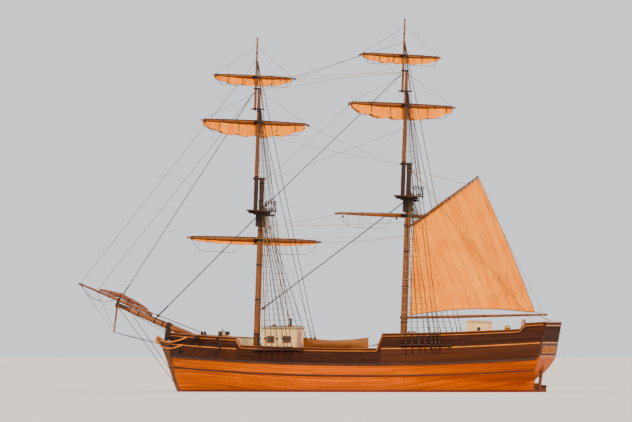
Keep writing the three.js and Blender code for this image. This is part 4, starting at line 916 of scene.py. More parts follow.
def boat_ring(w, u, inset):
    """Plan by a power of the distance from the middle, section by a power of the height, parabolic sheer."""
    w, u = alike(w, u)
    plan = np.maximum(0.02, 1 - np.abs(w) ** 2.6) * (BOAT_HALF - inset)
    sheer = boat_keel + BOAT_DEEP * (1 + 0.25 * w * w)
    low = boat_keel + inset + BOAT_DEEP * 0.35 * np.abs(w) ** 4
    half = np.maximum(0.01, plan * (1 - (1 - u) ** 2.6))
    return spot(BOAT_X + w * (BOAT_LONG - 2 * inset) / 2, half, mix(low, sheer, u))


boat_w = np.linspace(-1, 1, 41)[:, None]
lap = np.linspace(0, 1, 9)
lap_u = np.sort(np.r_[lap, lap[1:-1] + 0.001])
proud = np.where(np.isin(lap_u, lap[1:]), 0.0, 0.014)
outer = boat_ring(boat_w, lap_u, 0.016)
outer[..., 1] += proud * (1 - np.abs(boat_w) ** 4)
boat_side = np.concatenate([outer, boat_ring(boat_w, lap_u[::-1], 0.036)], 1)
buff_paint = mottled("buff_oil_paint", "cream_paint", 0.5, "#A5714A", "#865939", 2.2, 6.0, 0.12, 0.003)
shape("ships_boat_planking", both(boat_side), buff_paint, "hull", 25, "ships_boat")
keel_w = boat_w[:, 0]
boat_spine = spot(BOAT_X + keel_w * 2.27, 0, boat_keel + BOAT_DEEP * 0.35 * np.abs(keel_w) ** 4)
boat_ends = spot(BOAT_X + np.array([2.27, -2.27]), 0, boat_keel + 0.27)
oar_foot = spot(BOAT_X - 1.75, [-0.3, -0.2, 0.2, 0.3], boat_keel + 0.57)
oar_rows = [(0, 0.02), (0.15, 0.018), (0.2, 0.026), (2.7, 0.024), (2.85, 0.018), (3.4, 0.02), (3.42, 0.005)]
boat_gear = [*both(carry(boat_ring(keel_w[1:-1], 0.985, 0.02), square_ring(0.06, 0.045, 0.012), UP)),
             about(spot(BOAT_X + np.array([-1.1, 0, 1.1]), 0, boat_keel + 0.52), [0.13, 0.62, 0.02], 0.01),
             turned(oar_foot, AHEAD, oar_rows, 8),
             about(oar_foot + 3.135 * AHEAD, [0.285, 0.07, 0.008], 0.005),
             carry(boat_spine, square_ring(0.05, 0.06, 0.01), UP),
             bar(boat_ends, boat_ends + 0.66 * UP, 0.05, 0.05, 0.01)]
shape("ships_boat_gear", boat_gear, varnished_teak)
fitting_oak = timber("stained_oak_fitting", "dark_wood", 0.5, "#4A2D20", "#2C1A13", "Object", (4, 14, 4))
coat("boat_chocks", fitting_oak)


# Belaying: an oak fife rail abaft each mast, on posts let through the deck, and oak pin rails bolted along
# the inside of the bulwarks, with turned ash pins that stand loose in their holes.
FIFE_X = {"fore": 6.95, "main": -3.52}
fife_pins = []
for mast, x in FIFE_X.items():
    fife_foot = np.array([x, 0.85, deck_top(x) - 0.12])
    wide = 0.15 * np.array([1, 1, 0.72, 0.72, 1, 1])
    post_rise = np.array([0, 0.36, 0.42, 0.8, 0.84, 1.04])
    posts = both(carry(fife_foot + post_rise[:, None] * UP, square_ring(wide, wide, 0.025)),
                 turned(fife_foot + 1.03 * UP, UP, [(0, 0.05), (0.02, 0.07), (0.06, 0.06), (0.09, 0.02)]))
    posts.append(about([x, 0, fife_foot[2] + 0.935], [0.13, 1.0, 0.045], 0.02))
    shape(mast + "_fife_rail_posts", posts, stained_oak, replaces=mast + "_fife_rail")
    fife_pins.append(spot(x, [-0.69, -0.46, -0.23, 0, 0.23, 0.46, 0.69], deck_top(x) + 0.86))
pin_rows = [(-0.3, 0.008), (-0.28, 0.016), (-0.02, 0.018), (0.0, 0.03), (0.02, 0.026), (0.06, 0.016),
            (0.13, 0.03), (0.16, 0.022), (0.17, 0.006)]
pin_rails, rail_pins = [], {}
for mast, first, last in (("fore", 3.4, 6.6), ("main", -6.9, -3.8)):
    pin_rails += along_side(share_at(first), share_at(last), lambda t: deck_z(t) + 0.68, WALL + 0.1, 0.17,
                            0.06)
    pin_t = share_at(np.linspace(first + 0.2, last - 0.2, 11))
    rail_pins[mast] = side_point(pin_t, deck_z(pin_t) + 0.72, WALL + 0.13)
shape("pin_rails", pin_rails, stained_oak)
turned_ash = timber("turned_ash", "varnished_spar", 0.5, "#CBA470", "#9C7445", bump=0.2)
every_pin = np.concatenate([*fife_pins, *both(*rail_pins.values())])
shape("belaying_pins", [turned(every_pin, UP, pin_rows, 6)], turned_ash)


# Bilge pumps: two bored elm trunks before the quarterdeck, weathered as pale as the ash pins and hooped with
# iron, each worked by a long brake handle.
pump_at = np.array([-1.35, 0.48, deck_top(-1.35)])
pump_rows = [(-0.1, 0.15), (0.05, 0.15), (0.07, 0.12), (0.8, 0.11), (0.83, 0.13), (0.9, 0.13), (0.91, 0.1)]
shape("bilge_pump_trunks", both(turned(pump_at, UP, pump_rows, 16)), turned_ash)
hoop_rows = [(0, 0.1), (0.001, 0.127), (0.04, 0.127), (0.041, 0.1)]
spout_rows = [(0.05, 0.03), (0.2, 0.03), (0.21, 0.036), (0.24, 0.036)]
pump_irons = both(*(turned(pump_at + z * UP, UP, hoop_rows, 16) for z in (0.2, 0.6)),
                  turned(pump_at + 0.66 * UP, [1, 0, -0.3], spout_rows, 8),
                  turned(pump_at + 0.85 * UP, UP, [(0, 0.012), (0.32, 0.012)], 6),
                  bar(pump_at + [0.12, 0, 0.9], pump_at + [0.12, 0, 1.16], 0.04, 0.03),
                  bar(pump_at + [-0.12, 0, 1.2], pump_at + [0.75, 0, 1.0], 0.03, 0.04))
shape("bilge_pump_irons", pump_irons, black_iron)


# Windlass: a barrel of the same pale elm, with whelps wedged round it and iron pawl rims, turning in the oak
# carrick bitts. The bell hangs over it from a forged bracket.
coat("windlass_bitts", fitting_oak)
BARREL = np.array([9.7, 0, 3.6913])
barrel_rows = [(-1.15, 0.085), (-0.8, 0.085), (-0.795, 0.2), (-0.56, 0.16), (-0.3, 0.2), (0.3, 0.2),
               (0.56, 0.16), (0.795, 0.2), (0.8, 0.085), (1.15, 0.085)]
whelp_turn = np.arange(10)[:, None] * np.pi / 5
whelp_way = spot(np.cos(whelp_turn), 0, np.sin(whelp_turn))
whelp_out, whelp_y = np.array([(0.2, 0.78), (0.168, 0.56), (0.2, 0.32)]).T[..., None]
whelps = carry(BARREL + whelp_way * whelp_out + whelp_y * PORT, square_ring(0.055, 0.055, 0.01), whelp_way)
barrel = [turned(BARREL, PORT, barrel_rows, 20), *both(whelps)]
shape("windlass_barrel_and_whelps", barrel, turned_ash, "windlass", replaces="windlass_barrel")
pawl_rim = carry(oval(BARREL + 0.2 * PORT, 0.205 * AHEAD, 0.205 * UP, 40), square_ring(0.05, 0.04, 0.01),
                 PORT)
shape("windlass_pawl_rims", both(pawl_rim), black_iron, "windlass")
bell_rows = [(0.0, 0.012), (0.02, 0.1), (0.035, 0.098), (0.1, 0.07), (0.17, 0.062), (0.2, 0.045),
             (0.21, 0.01)]
bell_at = BARREL + [0.15, 0, 0.36]
shape("ships_bell", [turned(bell_at, UP, bell_rows, 16)], polished_brass)
bracket = bell_at + [(-0.13, 0, 0.08), (-0.1, 0, 0.2), (0, 0, 0.26), (0, 0, 0.2)]
shape("bell_bracket", [carry(bracket, round_ring(0.016), PORT)], black_iron)


# Ladders up to quarterdeck and forecastle, one at each side: oak sides with the treads housed into them,
# hooked to the deck breaks so that they lift away.
ladders = []
for share, facing, y in ((QUARTERDECK_END, 1, 1.9), (FORECASTLE_START, -1, 2.0)):
    x = float(station_x(share)) + facing * 0.1
    head = np.array([x, y, deck_z(share) + 0.06])
    foot = np.array([x + facing * 0.45, y, main_deck_z(share) + 0.1])
    treads = mix(head, foot, np.linspace(0.15, 0.85, 4)[:, None])
    ladders += both(*(bar(head + lean * PORT, foot + lean * PORT, 0.05, 0.14, 0.01, UP)
                      for lean in (0.3, -0.3)), about(treads, [0.08, 0.28, 0.015]))
shape("deck_ladders", ladders, stained_oak)


# Bitts: pairs of oak posts let through the deck, with a cross-piece halved on abaft. One pair holds the
# bowsprit's heel, and the smaller ones at bow and stern take the mooring ropes.
bitts = []
for x, y, gap, high in ((11.15, 0, 0.37, 0.85), (10.45, 1.3, 0.21, 0.5), (10.45, -1.3, 0.21, 0.5),
                        (-11.75, 1.3, 0.21, 0.5), (-11.75, -1.3, 0.21, 0.5)):
    foot, cross = spot(x, [y - gap, y + gap], deck_top(x) - 0.13), [x - 0.1, y, deck_top(x) + high * 0.68]
    bitts += [bar(foot, foot + (high + 0.13) * UP, 0.15, 0.15, 0.025),
              bar(cross - (gap + 0.16) * PORT, cross + (gap + 0.16) * PORT, 0.11, 0.12, 0.02)]
shape("bowsprit_and_mooring_bitts", bitts, stained_oak)


# Anchors: forged shank, arms and flukes, with an oak stock bolted across the shank. Each hangs by its ring
# from a cathead and is laid back along the bow.
ring_z = float(rail_z(cathead_t)) - 0.39
crown = np.array([CATHEAD_X - 1.9, 0, ring_z - 0.35])
crown[1] = side_point(share_at(crown[0]), crown[2])[1] + 0.42
ring_at = np.array([CATHEAD_X, side_point(cathead_t, rail_z(cathead_t))[1] + 0.52, ring_z - 0.14])
along = unit(ring_at - crown)
sideways = unit(np.cross(UP, along))
upward = np.cross(along, sideways)


def laid(points):
    """From the anchor's own frame (up its shank from the crown, sideways, along its arms) to the ship's."""
    return crown + np.asarray(points, float) @ [along, sideways, upward]


shackle = between(ring_at + along * 0.02 + 0.08 * UP, [CATHEAD_X, ring_at[1], ring_z + 0.18])
anchor = [turned(crown, along, [(-0.02, 0.07), (0.2, 0.062), (1.7, 0.045), (1.82, 0.05)], 10),
          carry(oval(laid([1.9, 0, 0]), 0.1 * along, 0.1 * sideways), round_ring(0.02), upward),
          carry(shackle, round_ring(0.02, 6))]
for way in (1, -1):
    bend = np.linspace(0, 1, 9)
    arm = spot(0.42 * bend ** 1.9 - 0.02, 0, way * 0.6 * np.sin(bend * 1.45) / np.sin(1.45))
    palm = spot([0.2, 0.3, 0.41], 0, way * np.array([0.42, 0.5, 0.58]))
    anchor += [carry(laid(arm), round_ring(mix(0.065, 0.035, bend)), sideways),
               carry(laid(palm), square_ring(np.array([0.03, 0.2, 0.02]), 0.02, 0.004), upward)]
shape("anchors_forged", both(*anchor), black_iron, replaces=("anchor_port", "anchor_starboard"))
thick = np.array([0.08, 0.1, 0.13, 0.1, 0.08])
stock = between(laid([1.64, -0.36, 0]), laid([1.64, 0.36, 0]), 5)
shape("anchor_stocks", both(carry(stock, square_ring(thick, thick, 0.012), along)), stained_oak)


# Hawse pipes: black iron, one each side of the stem, where the cables come aboard. Each mouth is shut by a
# disc of the same dark iron: painted shade in place of the open bore.
mouth, ahead_of_it = side_point(share_at(np.array([12.5, 12.6])), 2.72)
lengthwise = unit(ahead_of_it - mouth)
lip = carry(oval(mouth, 0.125 * lengthwise, 0.125 * UP), round_ring(0.035))
dark_bore_disc = turned(mouth, np.cross(UP, lengthwise), [(-0.05, 0.11), (0.004, 0.11), (0.01, 0.1)], 20)
shape("hawse_pipes", both(lip, dark_bore_disc), black_iron)


# Head of the stem: knee rails of varnished larch from the cutwater back towards the catheads, under the
# bowsprit, with a plain scroll at the end, and the rope gammoning that lashes the bowsprit down.
bend = np.linspace(0, np.pi, 14)
knee_ends = side_point(share_at(np.array([11.9, 12.25])), [3.72, 3.2], -0.02)
bowed = spot(0, 0.16 * np.sin(bend), -0.2 * np.sin(bend))
knees = between(spot(14.22, 0.12, [3.5, 3.122]), knee_ends, 14) + bowed
scroll_turn = np.linspace(0, 3.4 * np.pi, 50)
scroll_size = 0.19 * (1 - scroll_turn / (4.2 * np.pi))
scroll = spot(14.28 + scroll_size * np.sin(scroll_turn), 0, 3.52 + scroll_size * np.cos(scroll_turn))
scroll_ring = square_ring(0.24, mix(0.1, 0.05, scroll_turn / scroll_turn[-1]), 0.012)
head_rails = [*both(carry(knees, square_ring(0.09, 0.11, 0.02), UP)), carry(scroll, scroll_ring, PORT)]
shape("head_rails_and_scroll", head_rails, golden_larch)

STEM_HEAD, STEEVE = np.array([13.5, 0, 4.42]), math.radians(22)
BOW = np.array([math.cos(STEEVE), 0, math.sin(STEEVE)])
BOW_UP = np.array([-math.sin(STEEVE), 0, math.cos(STEEVE)])


def on_bowsprit(a, up=0.0, y=0.0):
    """A point by its distance along the bowsprit's axis from the stem head, above the axis and to port."""
    return STEM_HEAD + spot(a, up, y) @ [BOW, BOW_UP, PORT]


def three_strand(name, light, dark):
    """Rope laid up of three strands: bands that run slantwise round it and stand up from it, with painted
    shade that darkens the grooves between them.
    """
    made = finish(name, 0.7, "tarred_rope")
    where = add_node(made, "TexCoord", out="UV")
    slant = add_node(made, "Mapping", {"Vector": where, "Rotation": (0, 0, 0.8), "Scale": (30, 30, 1)})
    strands = add_node(made, "TexWave", {"Vector": slant, "Scale": 0.6, "Distortion": 1.0}, "Fac")
    # The colour follows the strands' height: the grooves are painted darker, as shade.
    dress(made, add_node(made, "Mix", {"Factor": strands, "A": dark, "B": light}, data_type="RGBA"), strands)
    return made


tarred_hemp = three_strand("tarred_hemp", "#40342C", "#211A17")
lashing, turn = np.arange(7)[:, None], np.linspace(-0.1, np.pi + 0.1, 13)
over = on_bowsprit(0.05 * lashing - 0.06, 0.255 * np.sin(turn), 0.255 * np.cos(turn))
under = spot(13.62 + 0.045 * lashing, [0.15, -0.15], 3.5)
gammoning = carry(np.concatenate([under[:, :1], over, under[:, 1:]], 1), round_ring(0.022, 6), BOW)
shape("bowsprit_gammoning", [gammoning], tarred_hemp)


# Bowsprit and jib-boom: pine spars, varnished. The boom runs out through the oak cap and rests on a saddle;
# the dolphin striker under the cap spreads its stays.
varnished_pine = timber("varnished_pine_spar", "varnished_spar", 0.32, "#9A5C2B", "#61381A",
                        stretch=(1.0, 16, 16), bump=0.2, Coat_Weight=0.35, Coat_Roughness=0.2)
CAP_AT = 4.15
striker = on_bowsprit(4.05, -0.1)
bowsprit_rows = [(-2.65, 0.2), (-2.6, 0.23), (0, 0.23), (2, 0.2), (CAP_AT - 0.02, 0.15), (CAP_AT, 0.14)]
boom_rows = [(1.5, 0.09), (1.55, 0.105), (CAP_AT, 0.105), (6.0, 0.08), (7.1, 0.058), (7.15, 0.04)]
bow_spars = [turned(on_bowsprit(0), BOW, bowsprit_rows, 20), turned(on_bowsprit(0, 0.33), BOW, boom_rows, 16),
             turned(striker, on_bowsprit(3.55, -1.9) - striker, [(0, 0.075), (1.8, 0.045), (1.86, 0.03)])]
shape("bowsprit_and_jibboom", bow_spars, varnished_pine, replaces=("bowsprit", "jibboom"))
bees = both(bar(on_bowsprit(3.2, 0.08, 0.17), on_bowsprit(3.95, 0.08, 0.17), 0.06, 0.12, 0.015, BOW_UP))
cap_and_bees = [bar(on_bowsprit(CAP_AT - 0.13, 0.165), on_bowsprit(CAP_AT, 0.165), 0.34, 0.67, 0.05, BOW_UP),
                bar(on_bowsprit(1.5, 0.14), on_bowsprit(1.66, 0.14), 0.18, 0.16, 0.02, BOW_UP), *bees]
shape("bowsprit_cap_and_bees", cap_and_bees, stained_oak)


def bands(centre, way, places, wide=0.07, thick=0.012, sides=20):
    """Iron hoops shrunk on a spar, at each (distance, radius) along its way."""
    after, ahead = (-wide / 2, 1e-4 - wide / 2), (wide / 2 + 2e-4, wide / 2 + 3e-4)
    rows = np.array([(after[0], -0.01), (after[1], thick), (ahead[0], thick), (ahead[1], -0.01)])
    return [turned(centre, way, rows + place, sides) for place in places]


bow_irons = [*bands(on_bowsprit(0), BOW, [(0.55, 0.222), (1.15, 0.213), (2.4, 0.19), (3.1, 0.173)]),
             *bands(on_bowsprit(0, 0.33), BOW, [(1.75, 0.105), (6.85, 0.063), (7.08, 0.058)])]
shape("bowsprit_irons", bow_irons, black_iron)


# Masts: each a lower mast, a topmast and a topgallant mast of pine, one ahead of the other where they
# overlap. The lower mast carries an oak top on trestle trees; caps, tops and crosstrees are stained dark.
RAKE = math.radians(2)
MASTS = {
    "fore": dict(x=7.51, low=1.7, top=12.3, cap=14.6, trees=19.3, head=20.7, truck=24.1, foot=0.235),
    "main": dict(x=-2.82, low=2.7, top=13.25, cap=15.55, trees=20.45, head=21.85, truck=25.3, foot=0.245),
}
TOPMAST_AHEAD, TOPGALLANT_AHEAD = 0.4, 0.66


def spun(a, b, angle):
    """Two coordinates turned by an angle, from the first towards the second."""
    return a * math.cos(angle) - b * math.sin(angle), a * math.sin(angle) + b * math.cos(angle)


def raked(points, mast):
    """From a mast's own frame (ahead of its axis, to port, up it) to the ship's: turned aft by the rake."""
    x, y, h = np.moveaxis(np.asarray(points, float), -1, 0)
    x, h = spun(x, h, RAKE)
    return spot(MASTS[mast]["x"] + x, y, h)


def lower_radius(m, h):
    return mix(m["foot"], 0.19, clamp((h - m["low"]) / (m["top"] - m["low"])))


def topmast_radius(m, h):
    return mix(0.145, 0.115, clamp((h - m["top"]) / (m["head"] - m["top"])))


def topgallant_radius(m, h):
    return mix(0.085, 0.05, clamp((h - m["trees"]) / (m["truck"] - m["trees"])))


def upright(ahead, rows, sides=20):
    """A turned piece in a mast's own frame, about an axis that far ahead of the lower mast's."""
    return turned([ahead, 0, 0], UP, rows, sides)


top_edge = np.array([(0.95, 0), (0.75, 0.972), (0.2, 1.35), (-0.75, 1.35), (-0.75, 0)])
top_rim = 0.985 * np.concatenate([top_edge, (top_edge * [1, -1])[-2:0:-1], top_edge[:1]])
plank_y = np.linspace(-1.32, 1.32, 23)
plank_end = np.interp(np.maximum(np.abs(plank_y[:-1]), np.abs(plank_y[1:])), [0, 0.972, 1.35],
                      [0.93, 0.73, 0.2])
by_mast = np.abs(plank_y[:-1] + plank_y[1:]) < 0.5
for mast, m in MASTS.items():
    top, cap, trees, head, truck = (m[k] for k in ("top", "cap", "trees", "head", "truck"))
    deck_h = deck_top(m["x"]) + 0.02
    foot_r = lower_radius(m, deck_h)
    lower = [(deck_h - 0.1, foot_r), (7, lower_radius(m, 7)), (top - 0.9, lower_radius(m, top - 0.9)),
             (top - 0.5, 0.23), (top + 0.02, 0.23)]
    middle = [(cap + 0.01, 0.145), (trees, topmast_radius(m, trees)), (head - 0.12, 0.105)]
    upper = [(trees - 0.15, 0.085), (trees, 0.085), (truck - 0.06, 0.05), (truck - 0.05, 0.05)]
    poles = [upright(0, lower, 24), upright(TOPMAST_AHEAD, middle), upright(TOPGALLANT_AHEAD, upper, 16)]
    shape(mast + "_mast_poles", [raked(part, mast) for part in poles], varnished_pine,
          replaces=(mast + "_lower_mast", mast + "_upper_mast"))

    # The planks in line with the masts are in two lengths, ahead of the topmast and abaft the lower mast.
    planked = boards(spot(-0.73, plank_y[:-1] + 0.006, top + 0.012),
                     spot(plank_end, plank_y[1:] - 0.006, top + 0.062), 0.006)
    rail_foot = spot(-0.7, np.linspace(-1.25, 1.25, 5), top + 0.06)
    truck_rows = [(truck - 0.06, 0.04), (truck - 0.05, 0.09), (truck - 0.02, 0.095), (truck, 0.06)]
    wood = [planked[~by_mast], np.maximum(planked[by_mast], [0.6, -2, 0]),
            np.minimum(planked[by_mast], [-0.26, 2, 99]),
            carry(spot(*top_rim.T, top + 0.04), square_ring(0.06, 0.1, 0.015), UP),
            upright(0, [(top + 0.03, 0.17), (cap, 0.15)]),
            upright(TOPMAST_AHEAD, [(top - 0.25, 0.145), (cap + 0.012, 0.145)]),
            upright(TOPMAST_AHEAD, [(head - 0.13, 0.105), (head, 0.1)], 16),
            upright(TOPGALLANT_AHEAD, truck_rows, 16),
            boards(spot(-0.6, [0.165, -0.285], top - 0.165), spot(0.8, [0.285, -0.165], top + 0.01), 0.015),
            boards(spot(-0.24, [0.195, -0.295], top - 1.05), spot(0.3, [0.265, -0.225], top - 0.16), 0.03),
            boards(spot(0.02, [0.085, -0.155], trees - 0.09), spot(0.92, [0.155, -0.085], trees), 0.012),
            about(spot([-0.35, 0.56], 0, top - 0.04), [0.06, 1.15, 0.05], 0.012),
            about(spot([0.22, 0.59], 0, trees - 0.025), [0.035, 0.72, 0.035], 0.01),
            boards([-0.2, -0.19, cap - 0.16], [0.61, 0.19, cap - 0.01], 0.03),
            boards([0.27, -0.12, head - 0.11], [0.78, 0.12, head], 0.02),
            boards([0.34, -0.23, top + 0.071], [0.46, 0.23, top + 0.16], 0.01),
            boards([-0.74, -1.3, top + 0.66], [-0.66, 1.3, top + 0.73], 0.015),
            bar(rail_foot, rail_foot + 0.62 * UP, 0.05, 0.05, 0.01)]
    shape(mast + "_top_caps_and_crosstrees", [raked(part, mast) for part in wood], stained_oak)

    lower_bands = [(h, lower_radius(m, h)) for h in np.linspace(deck_h + 1.6, top - 1.3, 4)]
    topmast_bands = [(h, topmast_radius(m, h)) for h in (cap + 0.06, trees - 0.2)]
    irons = [*bands([0, 0, 0], UP, [*lower_bands, (cap - 0.4, 0.157), (top + 0.7, 0.163)]),
             *bands([TOPMAST_AHEAD, 0, 0], UP, topmast_bands),
             *bands([TOPGALLANT_AHEAD, 0, 0], UP, [(truck - 1.0, 0.062)])]
    shape(mast + "_mast_bands", [raked(part, mast) for part in irons], black_iron)
    coat_rows = np.array([(-0.02, 0.14), (0.06, 0.1), (0.24, 0.02), (0.27, 0.012)]) + [deck_h, foot_r]
    shape(mast + "_mast_coat", [raked(upright(0, coat_rows, 24), mast)], painted_canvas)


# Standing rigging: tarred hemp, set up taut. Five lower shrouds a side come down from the masthead to
# deadeyes on the channels and carry the ratlines; topmast and topgallant rigging stands on the tops and
# crosstrees, held down by futtock shrouds, and two backstays a side lead to the channels' after ends.
def rope_line(start, end, radius=0.018, sag=0.0, rows=2, sides=6):
    """Ropes from each start to each end; a slack one hangs in a parabola of that depth."""
    path = between(start, end, rows)
    share = np.linspace(0, 1, rows)
    path[..., 2] -= 4 * sag * share * (1 - share)
    return carry(path, round_ring(radius, sides))


def crossing(foot, head, level):
    """The points where a row of straight shrouds passes each level."""
    share = (np.asarray(level)[..., None] - foot[:, 2]) / (head[:, 2] - foot[:, 2])
    return mix(foot, head, share[..., None])


FEET_ABAFT = np.array([-1.15, -1.6, -2.05, -2.5, -2.95, -3.22, -3.48])
five, four = np.arange(5), np.arange(4)
lignum = timber("lignum_vitae", "dark_wood", 0.45, "#4A3524", "#2A1D14", stretch=(8, 30, 30), bump=0.2)
for mast, m in MASTS.items():
    top, trees, truck, channel_z = m["top"], m["trees"], m["truck"], CHANNELS[mast][2] + 0.09
    feet_x = m["x"] + FEET_ABAFT
    foot = side_point(share_at(feet_x), channel_z + 0.12, -0.225)
    foot[:, 0] = feet_x
    head = raked([*spot(-0.03 - 0.025 * five, 0.165, top + 0.16 + 0.06 * five),
                  [TOPMAST_AHEAD - 0.06, 0.09, trees + 0.12], [TOPGALLANT_AHEAD - 0.03, 0.05, truck - 1.5]],
                 mast)
    way = unit(head - foot)
    upper_eye = foot + 0.62 * way
    plate_foot = side_point(share_at(feet_x + 0.02), channel_z - 0.62, -0.004)
    stave = crossing(foot[:5], head[:5], top - 1.15)
    rungs = crossing(foot[:5], head[:5], np.arange(channel_z + 1.15, top - 0.75, 0.4))

    top_eye = raked(spot([-0.66, -0.45, -0.24, -0.03], 1.29, top + 0.17), mast)
    top_head = raked(spot(np.linspace(0.32, 0.36, 4), 0.09, trees - 0.02 + 0.03 * four), mast)
    top_upper = top_eye + 0.42 * unit(top_head - top_eye)
    top_rungs = crossing(top_eye, top_head, np.arange(top_upper[0, 2] + 0.25, top_head[0, 2] - 0.7, 0.38))
    arm = raked(spot(0.22, [0.69, 0.47], trees + 0.01), mast)
    pole_head = raked(spot(TOPGALLANT_AHEAD - np.array([0.05, 0.04]), 0.05, truck - np.array([1.55, 1.6])),
                      mast)

    ropes = [rope_line(upper_eye, head, 0.021),
             rope_line(upper_eye + 0.08 * way, upper_eye + 0.5 * way, 0.03),
             carry(stave, round_ring(0.024, 6)), rope_line(top_upper, top_head, 0.015),
             rope_line(arm, pole_head, 0.012)]
    shape(mast + "_shrouds_and_backstays", both(*ropes), tarred_hemp)
    ratlines = [carry(rungs, round_ring(0.0095, 6)), carry(top_rungs, round_ring(0.008, 6))]
    shape(mast + "_ratlines", both(*ratlines), tarred_hemp)
    eye_rows = [(-0.05, 0.05), (-0.045, 0.088), (0.045, 0.088), (0.05, 0.05)]
    top_rows = [(-0.035, 0.03), (-0.03, 0.06), (0.03, 0.06), (0.035, 0.03)]
    eyes = [turned([*foot, *upper_eye], PORT, eye_rows, 10),
            turned([*top_eye, *top_upper], PORT, top_rows, 8)]
    shape(mast + "_deadeyes", both(*eyes), lignum)
    lag, top_lag = spot([[-0.045], [0], [0.045]], 0, 0.03), spot([[-0.03], [0.03]], 0, 0.02)
    lanyards = [rope_line(foot + lag, upper_eye + lag * [1, 1, -1], 0.011),
                rope_line(top_eye + top_lag, top_upper + top_lag * [1, 1, -1], 0.009)]
    shape(mast + "_lanyards", both(*lanyards), tarred_hemp)
    plates = np.stack([foot + 0.02 * PORT, foot - 0.1 * UP, plate_foot], 1)
    futtocks = rope_line(mix(stave[0], stave[-1], np.linspace(1.0, 0.2, 4)[:, None]), top_eye - 0.08 * UP,
                         0.014)
    irons = [carry(plates, square_ring(0.045, 0.02, 0.004), AHEAD), futtocks,
             turned(plate_foot, PORT, [(-0.02, 0.02), (0.02, 0.03), (0.03, 0.015)], 8)]
    shape(mast + "_chain_plates", both(*irons), black_iron)


# Stays: the heavy fore-and-aft ropes that hold the masts forward, each with a collar round the masthead and a
# heart at its foot, and the chains and ropes that hold the bowsprit and jib-boom down and sideways.
fore, main = MASTS["fore"], MASTS["main"]
STAYS = {
    "forestay": (raked([0.264, 0, fore["top"] - 0.35], "fore"), on_bowsprit(1.15, 0.24), 0.032),
    "fore_topmast_stay": (raked([0.771, 0, fore["head"] - 0.3], "fore"), on_bowsprit(4.0, 0.54), 0.024),
    "mainstay": (raked([0.264, 0, main["top"] - 0.35], "main"), raked([-0.255, 0, 5.6], "fore"), 0.032),
    "main_topmast_stay": (raked([0.771, 0, main["head"] - 0.3], "main"),
                          raked([-0.21, 0, fore["top"] + 0.3], "fore"), 0.024),
}
lesser = [(raked([0.54, 0, fore["head"] - 0.05], "fore"), on_bowsprit(5.75, 0.42)),
          (raked([0.72, 0, fore["truck"] - 1.6], "fore"), on_bowsprit(7.06, 0.4)),
          (raked([0.72, 0, main["truck"] - 1.6], "main"), raked([0.36, 0, fore["head"] + 0.03], "fore"))]
stays, hearts = [rope_line(*zip(*lesser), 0.014)], []
for a, b, r in STAYS.values():
    way = unit(a - b)
    stays += [rope_line(a, b, r, rows=3, sides=8), rope_line(b + way * 0.25, b + way * 1.1, r + 0.012)]
    hearts.append(turned(b + way * 0.16, PORT, [(-0.05, 0.05), (-0.045, 0.1), (0.045, 0.1), (0.05, 0.05)]))
shape("stays", stays, tarred_hemp, replaces=tuple(STAYS))
shape("stay_hearts", hearts, lignum)

striker_end = on_bowsprit(3.57, -1.84)
cathead_tip = cathead_root + [0, 0.7, 0.08]
bow_feet = side_point(share_at(np.array([12.0, 12.35])), [2.75, 3.35], -0.02)
hang = np.linspace(0, 1, 21)
boom_rope = on_bowsprit(mix(4.3, 6.95, hang), 0.3 - 2.2 * hang * (1 - hang), 0.08 + 0.45 * hang * (1 - hang))
boom_sides = on_bowsprit([7.0, 5.7], 0.33, [0.05, 0.08])
bow_lines = [rope_line(on_bowsprit([3.95, 2.9], [-0.14, -0.17]), [[13.22, 0, 0.62], [13.27, 0, 1.15]], 0.02),
             rope_line(on_bowsprit([7.04, 5.75], [0.28, 0.25]), [striker_end, striker_end + 0.16 * BOW_UP],
                       0.014),
             *both(rope_line([striker_end, on_bowsprit(3.9, 0, 0.15)], bow_feet, 0.016),
                   rope_line(boom_sides, [cathead_tip, cathead_tip - 0.05 * UP], 0.012),
                   carry(boom_rope, round_ring(0.012, 6)))]
shape("bowsprit_stays_and_footropes", bow_lines, tarred_hemp)


# Yards: spruce spars, tapered to both arms and crossed on the masts, each held to its mast by a hoop and a
# truss that lets it be braced round. An iron jackstay runs along the top for the sail, and footropes hang
# below for the hands.
BRACED = math.radians(35)
# A yard's name begins with the name of its mast.
YARDS = {
    "fore_course": dict(z=10.35, half=5.95, r=0.135, on="lower", hang=0.33, deep=0.25, lift=0.13),
    "fore_topsail": dict(z=18.35, half=4.8, r=0.11, on="topmast", hang=1.0, deep=0.33, lift=0.12),
    "fore_topgallant": dict(z=21.45, half=3.65, r=0.08, on="topgallant", hang=0.62, deep=0.24, lift=0.09),
    "main_course": dict(z=11.95, half=5.95, r=0.135, on="lower"),
    "main_topsail": dict(z=19.45, half=4.8, r=0.11, on="topmast", hang=1.0, deep=0.33, lift=0.12),
    "main_topgallant": dict(z=22.8, half=3.65, r=0.08, on="topgallant", hang=0.56, deep=0.23, lift=0.09),
}
SLUNG = {"lower": (0.0, lower_radius, 0.59), "topmast": (TOPMAST_AHEAD, topmast_radius, 0.35),
         "topgallant": (TOPGALLANT_AHEAD, topgallant_radius, 0.26)}
DROPS = {"lower": 0.8, "topmast": 0.7, "topgallant": 0.55}


def braced(points, yard):
    """From a yard's own frame (ahead of its pivot, along it to port, above it) to the ship's: turned 35
    degrees about the mast it swings on, then raked with the mast."""
    row = YARDS[yard]
    a, y, h = np.moveaxis(np.asarray(points, float), -1, 0)
    a, y = spun(a, y, -BRACED)
    return raked(spot(SLUNG[row["on"]][0] + a, y, row["z"] + h), yard[:4])


def yard_radius(row, y):
    return row["r"] * np.interp(np.abs(y) / row["half"], [0.12, 0.5, 1], [1, 0.88, 0.45])


def clear_of(radius):
    """Inner radius of a hoop whose flats still stand 6 mm off a mast of that radius."""
    return (radius + 0.006) / math.cos(math.pi / 12)


